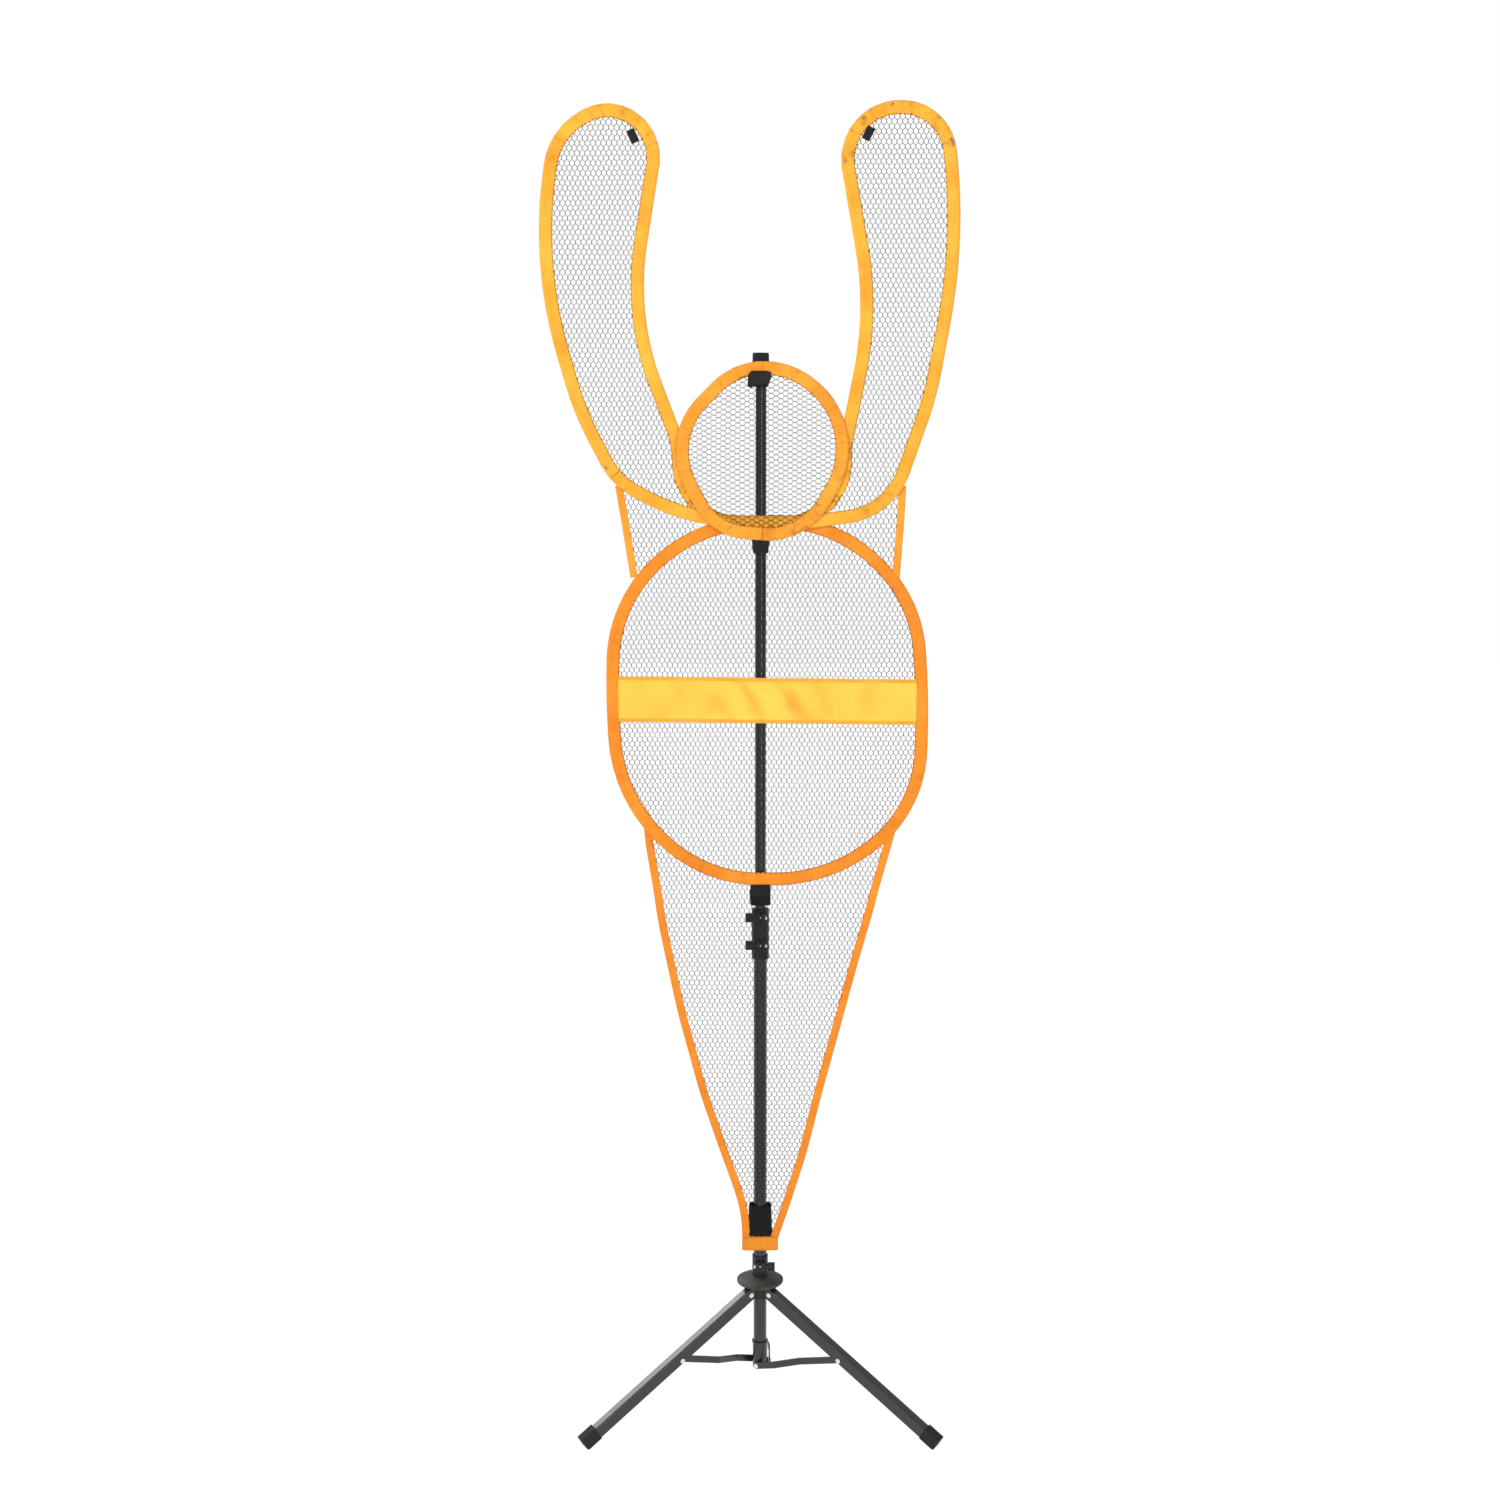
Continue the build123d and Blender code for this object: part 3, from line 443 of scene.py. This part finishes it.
def folded_tape(name, line, closed, width, roll, depth, material, pucker=1.0, seams=()):
    """A tape folded over a wire or an edge: it follows a line of (x, z) points along its outer edge.

    Its cloth gathers into small creases across it where the line bends most, and seams lists where its ends
    are sewn together. The creases are marked for painted shade, and the seams for a dark seam line.
    """
    ring = TAPE_SECTION + [(a, -h) for a, h in reversed(TAPE_SECTION[1:-1])] + TAPE_SECTION[:1]
    count = len(line)
    pace = (line[1] - line[0]).length
    area = sum(line[i - 1].cross(line[i]) for i in range(count))
    side = (1 if area > 0 else -1) if closed else 1

    def inward_at(i):
        last = line[i - 1] if closed or i > 0 else line[0]
        following = line[(i + 1) % count] if closed or i < count - 1 else line[-1]
        tangent = (following - last).normalized()
        return Vector((-tangent.y, tangent.x)) * side

    def bend_at(i):
        before = line[(i - BEND_REACH) % count] if closed else line[max(i - BEND_REACH, 0)]
        after = line[(i + BEND_REACH) % count] if closed else line[min(i + BEND_REACH, count - 1)]
        first = line[i] - before
        second = after - line[i]
        if first.length < 1e-6 or second.length < 1e-6:
            return 0.0
        return abs(first.angle(second)) / (BEND_REACH * pace)

    bends = [min(1.0, bend_at(i) * BEND_GATHER) for i in range(count)]
    joins = [0.0] * count
    for seam in seams:
        joins[min(range(count), key=lambda i: (line[i] - Vector(seam)).length)] = 1.0
    seed = sum(ord(c) for c in name)

    def shape(u, v):
        i = round(u * (count if closed else count - 1))
        i = i % count if closed else i
        a, h = ring[round(v * (len(ring) - 1))]
        run = i * pace
        gather = bends[i] ** 1.5
        crease = noise.noise(Vector((run / 7.5, a * 1.6, seed))) * (0.35 + 1.3 * gather)
        crease += noise.noise(Vector((run / 26.0, a * 2.0, seed + 9))) * 0.7
        pleat = abs(math.sin(run / 13 + 4.5 * noise.noise(Vector((run / 34, seed, 0))) + 0.25 * math.sin(5 * a)))
        ridge = pleat ** 26 * max(0, 0.55 + 1.2 * noise.noise(Vector((run / 16, a * 3, seed + 3))))
        crease -= ridge * gather * 1.1
        inner = 0.25 + 0.75 * min(1, a * 3)
        thick = roll * h * (1 + 0.3 * crease * pucker * inner * (1 if a < 0.98 else 0))
        lean = 0.35 * noise.noise(Vector((run / 55.0, 3.0, seed))) * pucker
        edge = 0.3 * noise.noise(Vector((run / 12.0, 7.0, seed))) * pucker * (0.4 + gather)
        point = line[i] + inward_at(i) * (a * width + edge)
        y = depth(point.x, point.y, run) if callable(depth) else depth
        # How much painted shade this point gets in its crease; the sewn seams get a dark line
        fold = 0.75 * max(0.0, min(1.0, ridge * gather * 1.2), -crease * 0.35 - 0.12)
        return point.x, y - thick + lean, point.y, max(fold, joins[i])

    return surface(name, count if closed else count - 1, len(ring) - 1, shape,
                   (count * pace, 2 * width), material, cap=not closed)


def net_panel(name, low, high, keep, depth, turned=False, sway=1.0):
    """A knitted net: a brick grid pulled into six-sided cells, each with its hole cut out.

    keep(x, z) says which cells belong to the panel, and depth(x, z) how far forward it lies.
    """
    if turned:
        low, high = (low[1], low[0]), (high[1], high[0])
    pitch = CELL_WIDTH / 2
    columns = math.ceil((high[0] - low[0]) / pitch)
    rows = math.ceil((high[1] - low[1]) / CELL_ROW)
    work = bmesh.new()
    bmesh.ops.create_grid(work, x_segments=columns, y_segments=rows, size=1)
    cell = {}
    for v in work.verts:
        i, j = round((v.co.x + 1) / 2 * columns), round((v.co.y + 1) / 2 * rows)
        cell[v] = (i, j)
        peak = CELL_PEAK if (i + j) % 2 == 0 else -CELL_PEAK
        v.co = (low[0] + i * pitch, 0, low[1] + j * CELL_ROW + peak)
    gone = []
    for edge in work.edges:
        (i, j), (m, n) = cell[edge.verts[0]], cell[edge.verts[1]]
        if i == m and 0 < i < columns and (i + min(j, n)) % 2 == 1:
            gone.append(edge)
    bmesh.ops.dissolve_edges(work, edges=gone, use_verts=False)
    outside = []
    for face in work.faces:
        c = face.calc_center_median()
        x, z = (c.z, c.x) if turned else (c.x, c.z)
        if not keep(x, z):
            outside.append(face)
    bmesh.ops.delete(work, geom=outside, context="FACES")
    cells = len(work.faces)
    rims = set(bmesh.ops.inset_individual(
        work, faces=work.faces[:], thickness=STRAND_WIDTH / 2, use_even_offset=True)["faces"])
    holes = [f for f in work.faces if f not in rims]
    for hole in holes:
        middle = hole.calc_center_median().x
        for v in hole.verts:
            v.co.x = middle + (v.co.x - middle) * HOLE_NARROWING
    bmesh.ops.delete(work, geom=holes, context="FACES")
    seed = sum(ord(c) for c in name)
    for v in work.verts:
        x, z = (v.co.z, v.co.x) if turned else (v.co.x, v.co.z)
        drift = noise.noise_vector(Vector((x / 60, z / 60, seed))) * 1.6 * sway
        drift += noise.noise_vector(Vector((x / 9, z / 9, seed))) * 0.35
        wave = noise.noise(Vector((x / 70, z / 110, seed + 5))) * 1.1 * sway
        v.co = place(x + drift.x, depth(x, z) + wave * 0.6, z + drift.y)
    made = to_object(name, work, NET_YARN, smooth=False)
    wall = made.modifiers.new("yarn thickness", "SOLIDIFY")
    wall.thickness = NET_THICK * MM
    wall.offset = 0
    return made, cells * CELL_WIDTH * CELL_ROW * MM * MM


def box_of(points, spare):
    """The low and high corners of some (x, z) points, with a spare margin."""
    xs, zs = [p[0] for p in points], [p[1] for p in points]
    return (min(xs) - spare, min(zs) - spare), (max(xs) + spare, max(zs) + spare)


def level(value):
    """A depth that is the same everywhere."""
    return lambda x, z: value


# ---------------------------------------------------------------- hoops


HOOP_STEP = 2.2
BORDER_STEP = 12


def hoop_binding(name, outline, depth, material, node, seams=()):
    """A hoop's tape, folded over its spring wire."""
    made = folded_tape(name, rounded(outline, HOOP_STEP), True, BINDING_WIDTH, ROLL_HALF, depth, material, 1.6, seams)
    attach(made, "figure")
    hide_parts(node)
    return made


# Where the arms' loop crosses the neck, half as wide as this and below this height
NECK_HALF_WIDTH = 150
NECK_TOP = 1620
arms_line = rounded(ARMS_OUTLINE, HOOP_STEP)
arms_pace = (arms_line[1] - arms_line[0]).length
upper_run = [i * arms_pace for i, p in enumerate(arms_line) if abs(p.x) < 130 and 1488 < p.y < 1650]
upper_start, upper_end = min(upper_run), max(upper_run)


def arms_depth(x, z, run):
    """The loop's two runs cross the neck one in front of the other."""
    if abs(x) > NECK_HALF_WIDTH or z > NECK_TOP:
        return ARMS_DEPTH
    layer = 1.0 if upper_start < run < upper_end else -1.0
    return ARMS_DEPTH + layer * min(1, (NECK_HALF_WIDTH - abs(x)) / 60)


head_binding = hoop_binding("head_hoop_tape", HEAD_OUTLINE, HEAD_DEPTH, HALF_LIT_AMBER_TAPE, "head_binding", [(2, 1452)])
arms_binding = hoop_binding("arms_hoop_tape", ARMS_OUTLINE, arms_depth, LIT_GOLD_TAPE, "arms_binding", [(-232, 1556)])
torso_binding = hoop_binding("torso_hoop_tape", TORSO_OUTLINE, TORSO_DEPTH, ORANGE_TAPE, "torso_binding")


def hoop_net(name, outline, depth, node, turned=False):
    """A hoop's net, which ends under its binding."""
    border = [tuple(p) for p in rounded(inset(outline, BINDING_WIDTH - UNDER_BINDING), BORDER_STEP)]
    low, high = box_of(border, 10)
    made, area = net_panel(name, low, high, lambda x, z: inside(x, z, border), level(depth), turned)
    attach(made, "figure")
    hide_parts(node)


hoop_net("head_net_panel", HEAD_OUTLINE, HEAD_DEPTH, "head_net", turned=True)
hoop_net("torso_net_panel", TORSO_OUTLINE, TORSO_DEPTH, "torso_net")


ARM_NET_BOTTOM = 1500


def arm_net(side, start, end):
    """One arm's panel, kept to its own side of the neck."""
    border = [tuple(p) for p in rounded(inset(ARMS_OUTLINE, BINDING_WIDTH - UNDER_BINDING), BORDER_STEP)]
    half = [p for p in border if start <= p[0] <= end]
    low, high = box_of(half, 10)
    made, area = net_panel(
        f"arm_net_panel_{side}", low, high,
        lambda x, z: start < x < end and inside(x, z, border) and z > ARM_NET_BOTTOM, level(ARMS_DEPTH))
    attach(made, "figure")
    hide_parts(f"arm_net_{side}")


arm_net("left", -400, -88)
arm_net("right", 88, 400)

# ---------------------------------------------------------------- shoulders and skirt

# The shoulders and the skirt end under the torso's and the arms' bindings, this far in from their edges
torso_edge = [tuple(p) for p in rounded(inset(TORSO_OUTLINE, 7), BORDER_STEP)]
arms_edge = [tuple(p) for p in rounded(inset(ARMS_OUTLINE, 9), BORDER_STEP)]
EDGE_ROLL = 1.5
EDGE_PUCKER = 0.8


def shoulder(side, corners):
    """The net between an arm and the torso, and its bound outer edge."""
    outward = -1 if side == "left" else 1
    line = spaced([Vector(c) for c in corners[:3]], 2.5)
    low, high = box_of(corners, 4)

    def keep(x, z):
        hem = 5 * outward
        return (inside(x + hem, z, corners) and abs(x) > 100 and not inside(x, z, torso_edge)
                and not inside(x, z, arms_edge))

    net, area = net_panel(f"shoulder_net_panel_{side}", low, high, keep, level(SHOULDER_DEPTH), sway=0.5)
    shown = [p for p in line if not inside(p.x, p.y, arms_edge) and not inside(p.x, p.y, torso_edge)]
    if outward > 0:
        shown = shown[::-1]
    edge = folded_tape(f"shoulder_edge_tape_{side}", shown, False, EDGE_WIDTH, EDGE_ROLL,
                       SHOULDER_DEPTH, HALF_LIT_AMBER_TAPE, EDGE_PUCKER)
    for made, node, finish in ((net, f"shoulder_net_{side}", "net"), (edge, f"shoulder_edge_{side}", "binding")):
        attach(made, "figure")
        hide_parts(node)


shoulder("left", SHOULDER_LEFT)
shoulder("right", SHOULDER_RIGHT)


def smoothed(points, step):
    """An open line through points, with its corners eased."""
    line = spaced([Vector(p) for p in points], step)
    for _ in range(60):
        line[1:-1] = [(a + b * 2 + c) / 4 for a, b, c in zip(line, line[1:], line[2:])]
    return spaced(line, step)


def skirt_depth(x, z):
    """How far forward the skirt lies at a height: eased between the heights where it is known."""
    for (y0, z0), (y1, z1) in zip(SKIRT_FALL, SKIRT_FALL[1:]):
        if z1 <= z <= z0:
            share = (z0 - z) / (z0 - z1)
            share = share * share * (3 - 2 * share)
            return y0 + (y1 - y0) * share
    return SKIRT_FALL[0][0] if z > SKIRT_FALL[0][1] else SKIRT_FALL[-1][0]


def make_skirt():
    """The net from the torso down to the hem, and its two bound sides."""
    left = smoothed(SKIRT_LEFT, 3)
    right = smoothed(SKIRT_RIGHT, 3)
    border = [tuple(p) for p in left[::4] + left[-1:]] + [tuple(p) for p in (right[::4] + right[-1:])[::-1]]
    low, high = box_of(border, 4)

    def keep(x, z):
        return inside(x - 6, z, border) and inside(x + 6, z, border) and not inside(x, z, torso_edge)

    net, area = net_panel("skirt_net_panel", low, high, keep, skirt_depth, sway=1.3)
    pieces = [(net, "skirt_net", "net")]
    for side, line in (("left", left), ("right", right[::-1])):
        shown = [p for p in line if not inside(p.x, p.y, torso_edge)]
        edge = folded_tape(f"skirt_edge_tape_{side}", shown, False, EDGE_WIDTH + 1, EDGE_ROLL,
                           lambda x, z, run: skirt_depth(x, z), ORANGE_TAPE, EDGE_PUCKER)
        pieces.append((edge, f"skirt_edge_{side}", "binding"))
    for made, node, finish in pieces:
        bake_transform(made)
        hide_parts(node)


make_skirt()

# ---------------------------------------------------------------- chest band


def make_band():
    """The satin band across the chest, with a rolled hem along its top and its bottom."""
    border = rounded(inset(TORSO_OUTLINE, BINDING_WIDTH - 2), 6)
    left = min(p.x for p in border)
    right = max(p.x for p in border)
    width, height = right - left, BAND_TOP - BAND_BOTTOM

    def wrinkle(x, z):
        """Slanting folds that gather towards the pole."""
        near = math.exp(-(((x - 10) / 95) ** 2))
        fold = math.sin((x * 0.9 + (z - BAND_BOTTOM) * 0.62) / 8.5 + 1.5 * noise.noise(Vector((x / 50, z / 40, 2))))
        fold = math.copysign(abs(fold) ** 1.4, fold)
        wide = noise.noise(Vector((x / 38, z / 55, 7))) * 0.9
        return fold * 0.75 * near + wide

    def taut(x):
        """0 at the band's sewn ends, where the folds die away, and 1 away from them."""
        return max(0, min(1, (right - x) / 14, (x - left) / 14))

    def sag(x, v):
        """The band hangs a little lower at its right end."""
        return BAND_LEAN * (x - left) + 2.4 + 0.8 * noise.noise(Vector((x / 60, v * 2, 4)))

    def shape(u, v):
        x, z = left + u * width, BAND_BOTTOM + v * height
        fold = wrinkle(x, z) * taut(x)
        # The fourth number puts painted shade in the band's folds
        return x, BAND_DEPTH + max(-0.9, min(0.5, fold * 0.8)), z + sag(x, v), min(1, max(0, fold * 0.75))

    band = surface("chest_band_satin", 190, 32, shape, (width, height), YELLOW_SATIN)
    wall = band.modifiers.new("cloth thickness", "SOLIDIFY")
    wall.thickness = 0.5 * MM
    wall.offset = 0
    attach(band, "figure")
    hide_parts("chest_band")
    for name, z0 in (("top", BAND_TOP - 6), ("bottom", BAND_BOTTOM)):
        def hem_shape(u, v, z0=z0):
            x = left + u * width
            around = v * 2 * math.pi
            z = z0 + 3.0 - 3.0 * math.cos(around)
            y = BAND_DEPTH - 0.15 + max(-0.9, min(0.5, wrinkle(x, z) * taut(x) * 0.8))
            return x, y - 0.6 * math.sin(around), z + sag(x, (z - BAND_BOTTOM) / height)

        hem = surface(f"chest_band_hem_{name}", 190, 10, hem_shape, (width, 12), BAND_HEM_TAPE, cap=True)
        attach(hem, "figure")


make_band()

# ---------------------------------------------------------------- straps, pockets and tabs


# A strap's section, as (share of its width, which face), and the stations round its loop
STRAP_SECTION = [(0, 0.3), (0.02, 1), (0.25, 1), (0.5, 1), (0.75, 1), (0.98, 1), (1, 0.3)]
STRAP_STATIONS = 64


def loop(name, bottom, top, half_width, front, back, thick, body, node, material,
         taper=0.0, finish="webbing", square=0.5):
    """A band of webbing or cloth round the pole, from front to back, with a rounded rectangle's plan."""
    height = top - bottom
    middle, half_depth = (front + back) / 2, (back - front) / 2
    seed = sum(ord(c) for c in name)
    ring = STRAP_SECTION + [(a, -h) for a, h in reversed(STRAP_SECTION)] + STRAP_SECTION[:1]

    def shape(u, v):
        angle = 2 * math.pi * u
        a, h = ring[round(v * (len(ring) - 1))]
        cx = math.copysign(abs(math.cos(angle)) ** square, math.cos(angle))
        cy = math.copysign(abs(math.sin(angle)) ** square, math.sin(angle))
        narrow = 1 - taper * (1 - a)
        ripple = 0.5 * noise.noise(Vector((math.cos(angle) * 2, math.sin(angle) * 2 + a * 2, seed)))
        grow = h * thick / 2
        x = cx * (half_width * narrow + grow) + ripple * 0.6
        y = middle + cy * (half_depth + grow) + ripple * 0.6
        return x, y, bottom + a * height + 0.7 * ripple

    made = surface(name, STRAP_STATIONS, len(ring) - 1, shape, (4 * half_width, 2 * height), material)
    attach(made, body)
    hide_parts(node)


loop("neck_strap_webbing", 1434, 1468, 14.6, -21, 10.5, 1.6, "figure", "neck_strap", WEBBING, taper=0.22, square=0.35)
loop("waist_strap_webbing", 861, 896, 16.0, -15.2, 10.5, 1.6, "figure", "waist_strap", WEBBING)
loop("hem_sleeve_tape", 270.5, 295, 29, -14, 11, 1.6, "hem", "hem_sleeve", HEM_TAPE,
     taper=-0.02, finish="binding", square=0.22)
loop("hem_pocket_webbing", 295.5, 346, 18, -12.3, 12.3, 1.4, "hem", "hem_pocket", WEBBING, taper=-0.1)


def waist_flap():
    """The strap's loose end, which the snap holds down on its front."""
    def shape(u, v):
        x = -17.5 + 30 * u
        around = 2 * math.pi * v
        z = 880 + 8.0 * math.cos(around)
        return x, -16.6 - 0.5 * math.sin(around) - 0.4 * u, z + 0.5 * math.sin(6 * u)

    flap = surface("waist_strap_flap", 24, 12, shape, (30, 33), WEBBING, cap=True)
    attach(flap, "figure")


waist_flap()


def head_pocket():
    """A cloth cap sewn to the back of the head's binding, which the pole's top sits in."""
    top, bottom = 1746.5, 1696.0
    front, back = -19.0, 12.0
    middle, half_depth = (front + back) / 2, (back - front) / 2

    def shape(u, v):
        angle = 2 * math.pi * u
        low = min(v / 0.8, 1)
        over = max(0.0, (v - 0.8) / 0.2)
        cx = math.copysign(abs(math.cos(angle)) ** 0.5, math.cos(angle))
        cy = math.copysign(abs(math.sin(angle)) ** 0.5, math.sin(angle))
        width = 9.5 + 8.5 * math.exp(-(((low - 0.42) / 0.28) ** 2)) * (1 if cy < 0.3 else 0.35)
        width = width if low < 0.75 else min(width, 12.2)
        width = max(width, 12.0 if low > 0.6 else 9.5)
        shrink = 1 - over
        ripple = 0.5 * noise.noise(Vector((math.cos(angle) * 2, math.sin(angle) * 2, low * 5)))
        z = bottom + (top - bottom) * low - (0.8 * (1 - shrink) if over else 0)
        return cx * width * shrink + ripple * shrink, middle + cy * half_depth * shrink + ripple * shrink, z

    made = surface("head_pocket_cloth", 56, 25, shape, (90, 60), WEBBING)
    wall = made.modifiers.new("cloth thickness", "SOLIDIFY")
    wall.thickness = 1.2 * MM
    wall.offset = 1
    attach(made, "figure")
    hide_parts("head_pocket")


head_pocket()

HEAD_PATCH = [
    (-15, 1718.5), (-20, 1713), (-21, 1694.5), (-15, 1692.5), (-10, 1696), (7, 1697), (12, 1704), (14.5, 1712),
    (16, 1717), (8, 1719),
]


def head_patch():
    """The patch of cloth over the pocket, sewn on in front of the net and of the tape's inner edge."""
    work = bmesh.new()
    corners = [work.verts.new(place(x, HEAD_DEPTH - 2.9, z)) for x, z in HEAD_PATCH]
    work.faces.new(corners)
    bmesh.ops.triangulate(work, faces=work.faces[:])
    bmesh.ops.subdivide_edges(work, edges=work.edges[:], cuts=7, use_grid_fill=True)
    for v in work.verts:
        v.co.y -= (0.5 + 0.9 * noise.noise(v.co / (9 * MM))) * MM
    uv = work.loops.layers.uv.new("UVMap")
    for face in work.faces:
        for corner in face.loops:
            corner[uv].uv = (corner.vert.co.x, corner.vert.co.z)
    made = to_object("head_patch_cloth", work, WEBBING)
    wall = made.modifiers.new("cloth thickness", "SOLIDIFY")
    wall.thickness = 1.2 * MM
    wall.offset = 0
    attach(made, "figure")
    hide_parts("head_patch")


head_patch()


def hand_tab(side, x, z, lean):
    """A folded tab of webbing sewn to the inner edge of the binding."""
    turn = math.radians(lean)

    def shape(u, v):
        around = 2 * math.pi * v
        flat = math.copysign(abs(math.cos(around)) ** 0.35, math.cos(around))
        a, b = flat * 6.5, (u - 0.5) * 21
        thick = 0.9 * math.copysign(abs(math.sin(around)) ** 0.6, math.sin(around))
        puff = 0.5 * noise.noise(Vector((a / 6, b / 8, lean)))
        return (x + a * math.cos(turn) + b * math.sin(turn), -21.4 - thick + puff,
                z - a * math.sin(turn) + b * math.cos(turn))

    made = surface(f"hand_tab_webbing_{side}", 14, 20, shape, (21, 28), WEBBING, cap=True)
    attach(made, "figure")
    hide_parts(f"hand_tab_{side}")


hand_tab("left", -198.0, 2075.0, -25.0)
hand_tab("right", 166.0, 2079.0, 28.0)

# ---------------------------------------------------------------- finishes of the hard pieces


def paint(material, *starts):
    """Gives a material to every CAD node whose name starts so."""
    for name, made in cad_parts.items():
        if name.startswith(starts):
            for slot in made.material_slots:
                slot.material = material


paint(TUBE_COAT, "lower_tube", "upper_tube", "spreader_collar")
paint(LEG_COAT, "leg_", "strut_")
paint(NYLON, "hub_body", "pole_clamp", "clamp_bushing", "tube_end_plug", "upper_tube_cap", "upper_tube_guide",
      "lower_clamp_knob", "upper_clamp_knob", "hub_wing_knob")
paint(COVER_NYLON, "hub_cover")
paint(RUBBER, "foot_")
paint(ZINC, "leg_pivot_rivet", "strut_leg_rivet", "strut_collar_rivet", "waist_snap", "hub_clamp_bolt",
      "pole_clamp_bolts")
paint(SPRING_STEEL, "head_hoop_wire", "arms_hoop_wire", "torso_hoop_wire")

# ---------------------------------------------------------------- floor, light and camera


def floor_material():
    """White acrylic table lit from below, with a very faint tooth."""
    made, tree = blank("white lit acrylic")
    where = add(tree, "ShaderNodeTexCoord").outputs["Object"]
    tooth = add(tree, "ShaderNodeTexNoise", {"Scale": 300.0}, {"Vector": where})
    colour = add(tree, "ShaderNodeValToRGB", links={"Fac": tooth.outputs["Fac"]},
                 stops=[(0.3, "515151"), (0.7, "555555")])
    finish_surface(tree, colour.outputs["Color"], tooth.outputs["Fac"], 0.05, 0.1, {
        "Roughness": 0.9, "Emission Color": (1, 1, 1, 1), "Emission Strength": 0.95})
    return made


def make_stage():
    """The floor, and a plain white surround that lights softly and shows white."""
    work = bmesh.new()
    bmesh.ops.create_grid(work, x_segments=4, y_segments=4, size=14)
    floor = to_object("studio_floor", work, floor_material(), smooth=False)
    floor.data.transform(Matrix.Translation((0, 0, -0.5 * MM)))
    world = bpy.data.worlds.new("studio")
    world.use_nodes = True
    tree = world.node_tree
    tree.nodes.clear()
    soft = add(tree, "ShaderNodeBackground", {"Color": (1, 1, 1, 1), "Strength": 0.52})
    white = add(tree, "ShaderNodeBackground", {"Color": (1, 1, 1, 1), "Strength": 1.0})
    direct = add(tree, "ShaderNodeLightPath").outputs["Is Camera Ray"]
    both = add(tree, "ShaderNodeMixShader", links={0: direct, 1: soft.outputs[0], 2: white.outputs[0]})
    add(tree, "ShaderNodeOutputWorld", links={"Surface": both.outputs[0]})
    bpy.context.scene.world = world


def area_light(name, at, aim, size, power):
    """A soft box at a point, aimed at another; its size is in metres and its power in watts."""
    data = bpy.data.lights.new(name, "AREA")
    data.shape = "RECTANGLE"
    data.size, data.size_y = size
    data.energy = power
    made = bpy.data.objects.new(name, data)
    made.location = place(*at)
    made.rotation_euler = (place(*aim) - made.location).to_track_quat("-Z", "Y").to_euler()
    made.visible_camera = False
    bpy.context.scene.collection.objects.link(made)


# The camera's place, its tilt down in degrees, and its lens
CAMERA_PLACE = (-17.0, -3000.0, 1523.0)
CAMERA_DOWN = 7.73
CAMERA_LENS = 44.74


def make_camera():
    data = bpy.data.cameras.new("camera")
    data.lens = CAMERA_LENS
    data.sensor_width = 36
    made = bpy.data.objects.new("camera", data)
    made.location = place(*CAMERA_PLACE)
    made.rotation_euler = (math.radians(90 - CAMERA_DOWN), 0, 0)
    bpy.context.scene.collection.objects.link(made)
    bpy.context.scene.camera = made


make_stage()
area_light("key", (-1300, -2600, 3000), (0, 0, 1100), (1.4, 1.4), 50)
area_light("strip", (1150, -2500, 1500), (0, 0, 1100), (0.22, 2.2), 14)
area_light("back", (-1500, 1700, 2000), (0, 0, 200), (1.6, 1.6), 34)
make_camera()
bpy.context.scene.view_settings.view_transform = "Standard"
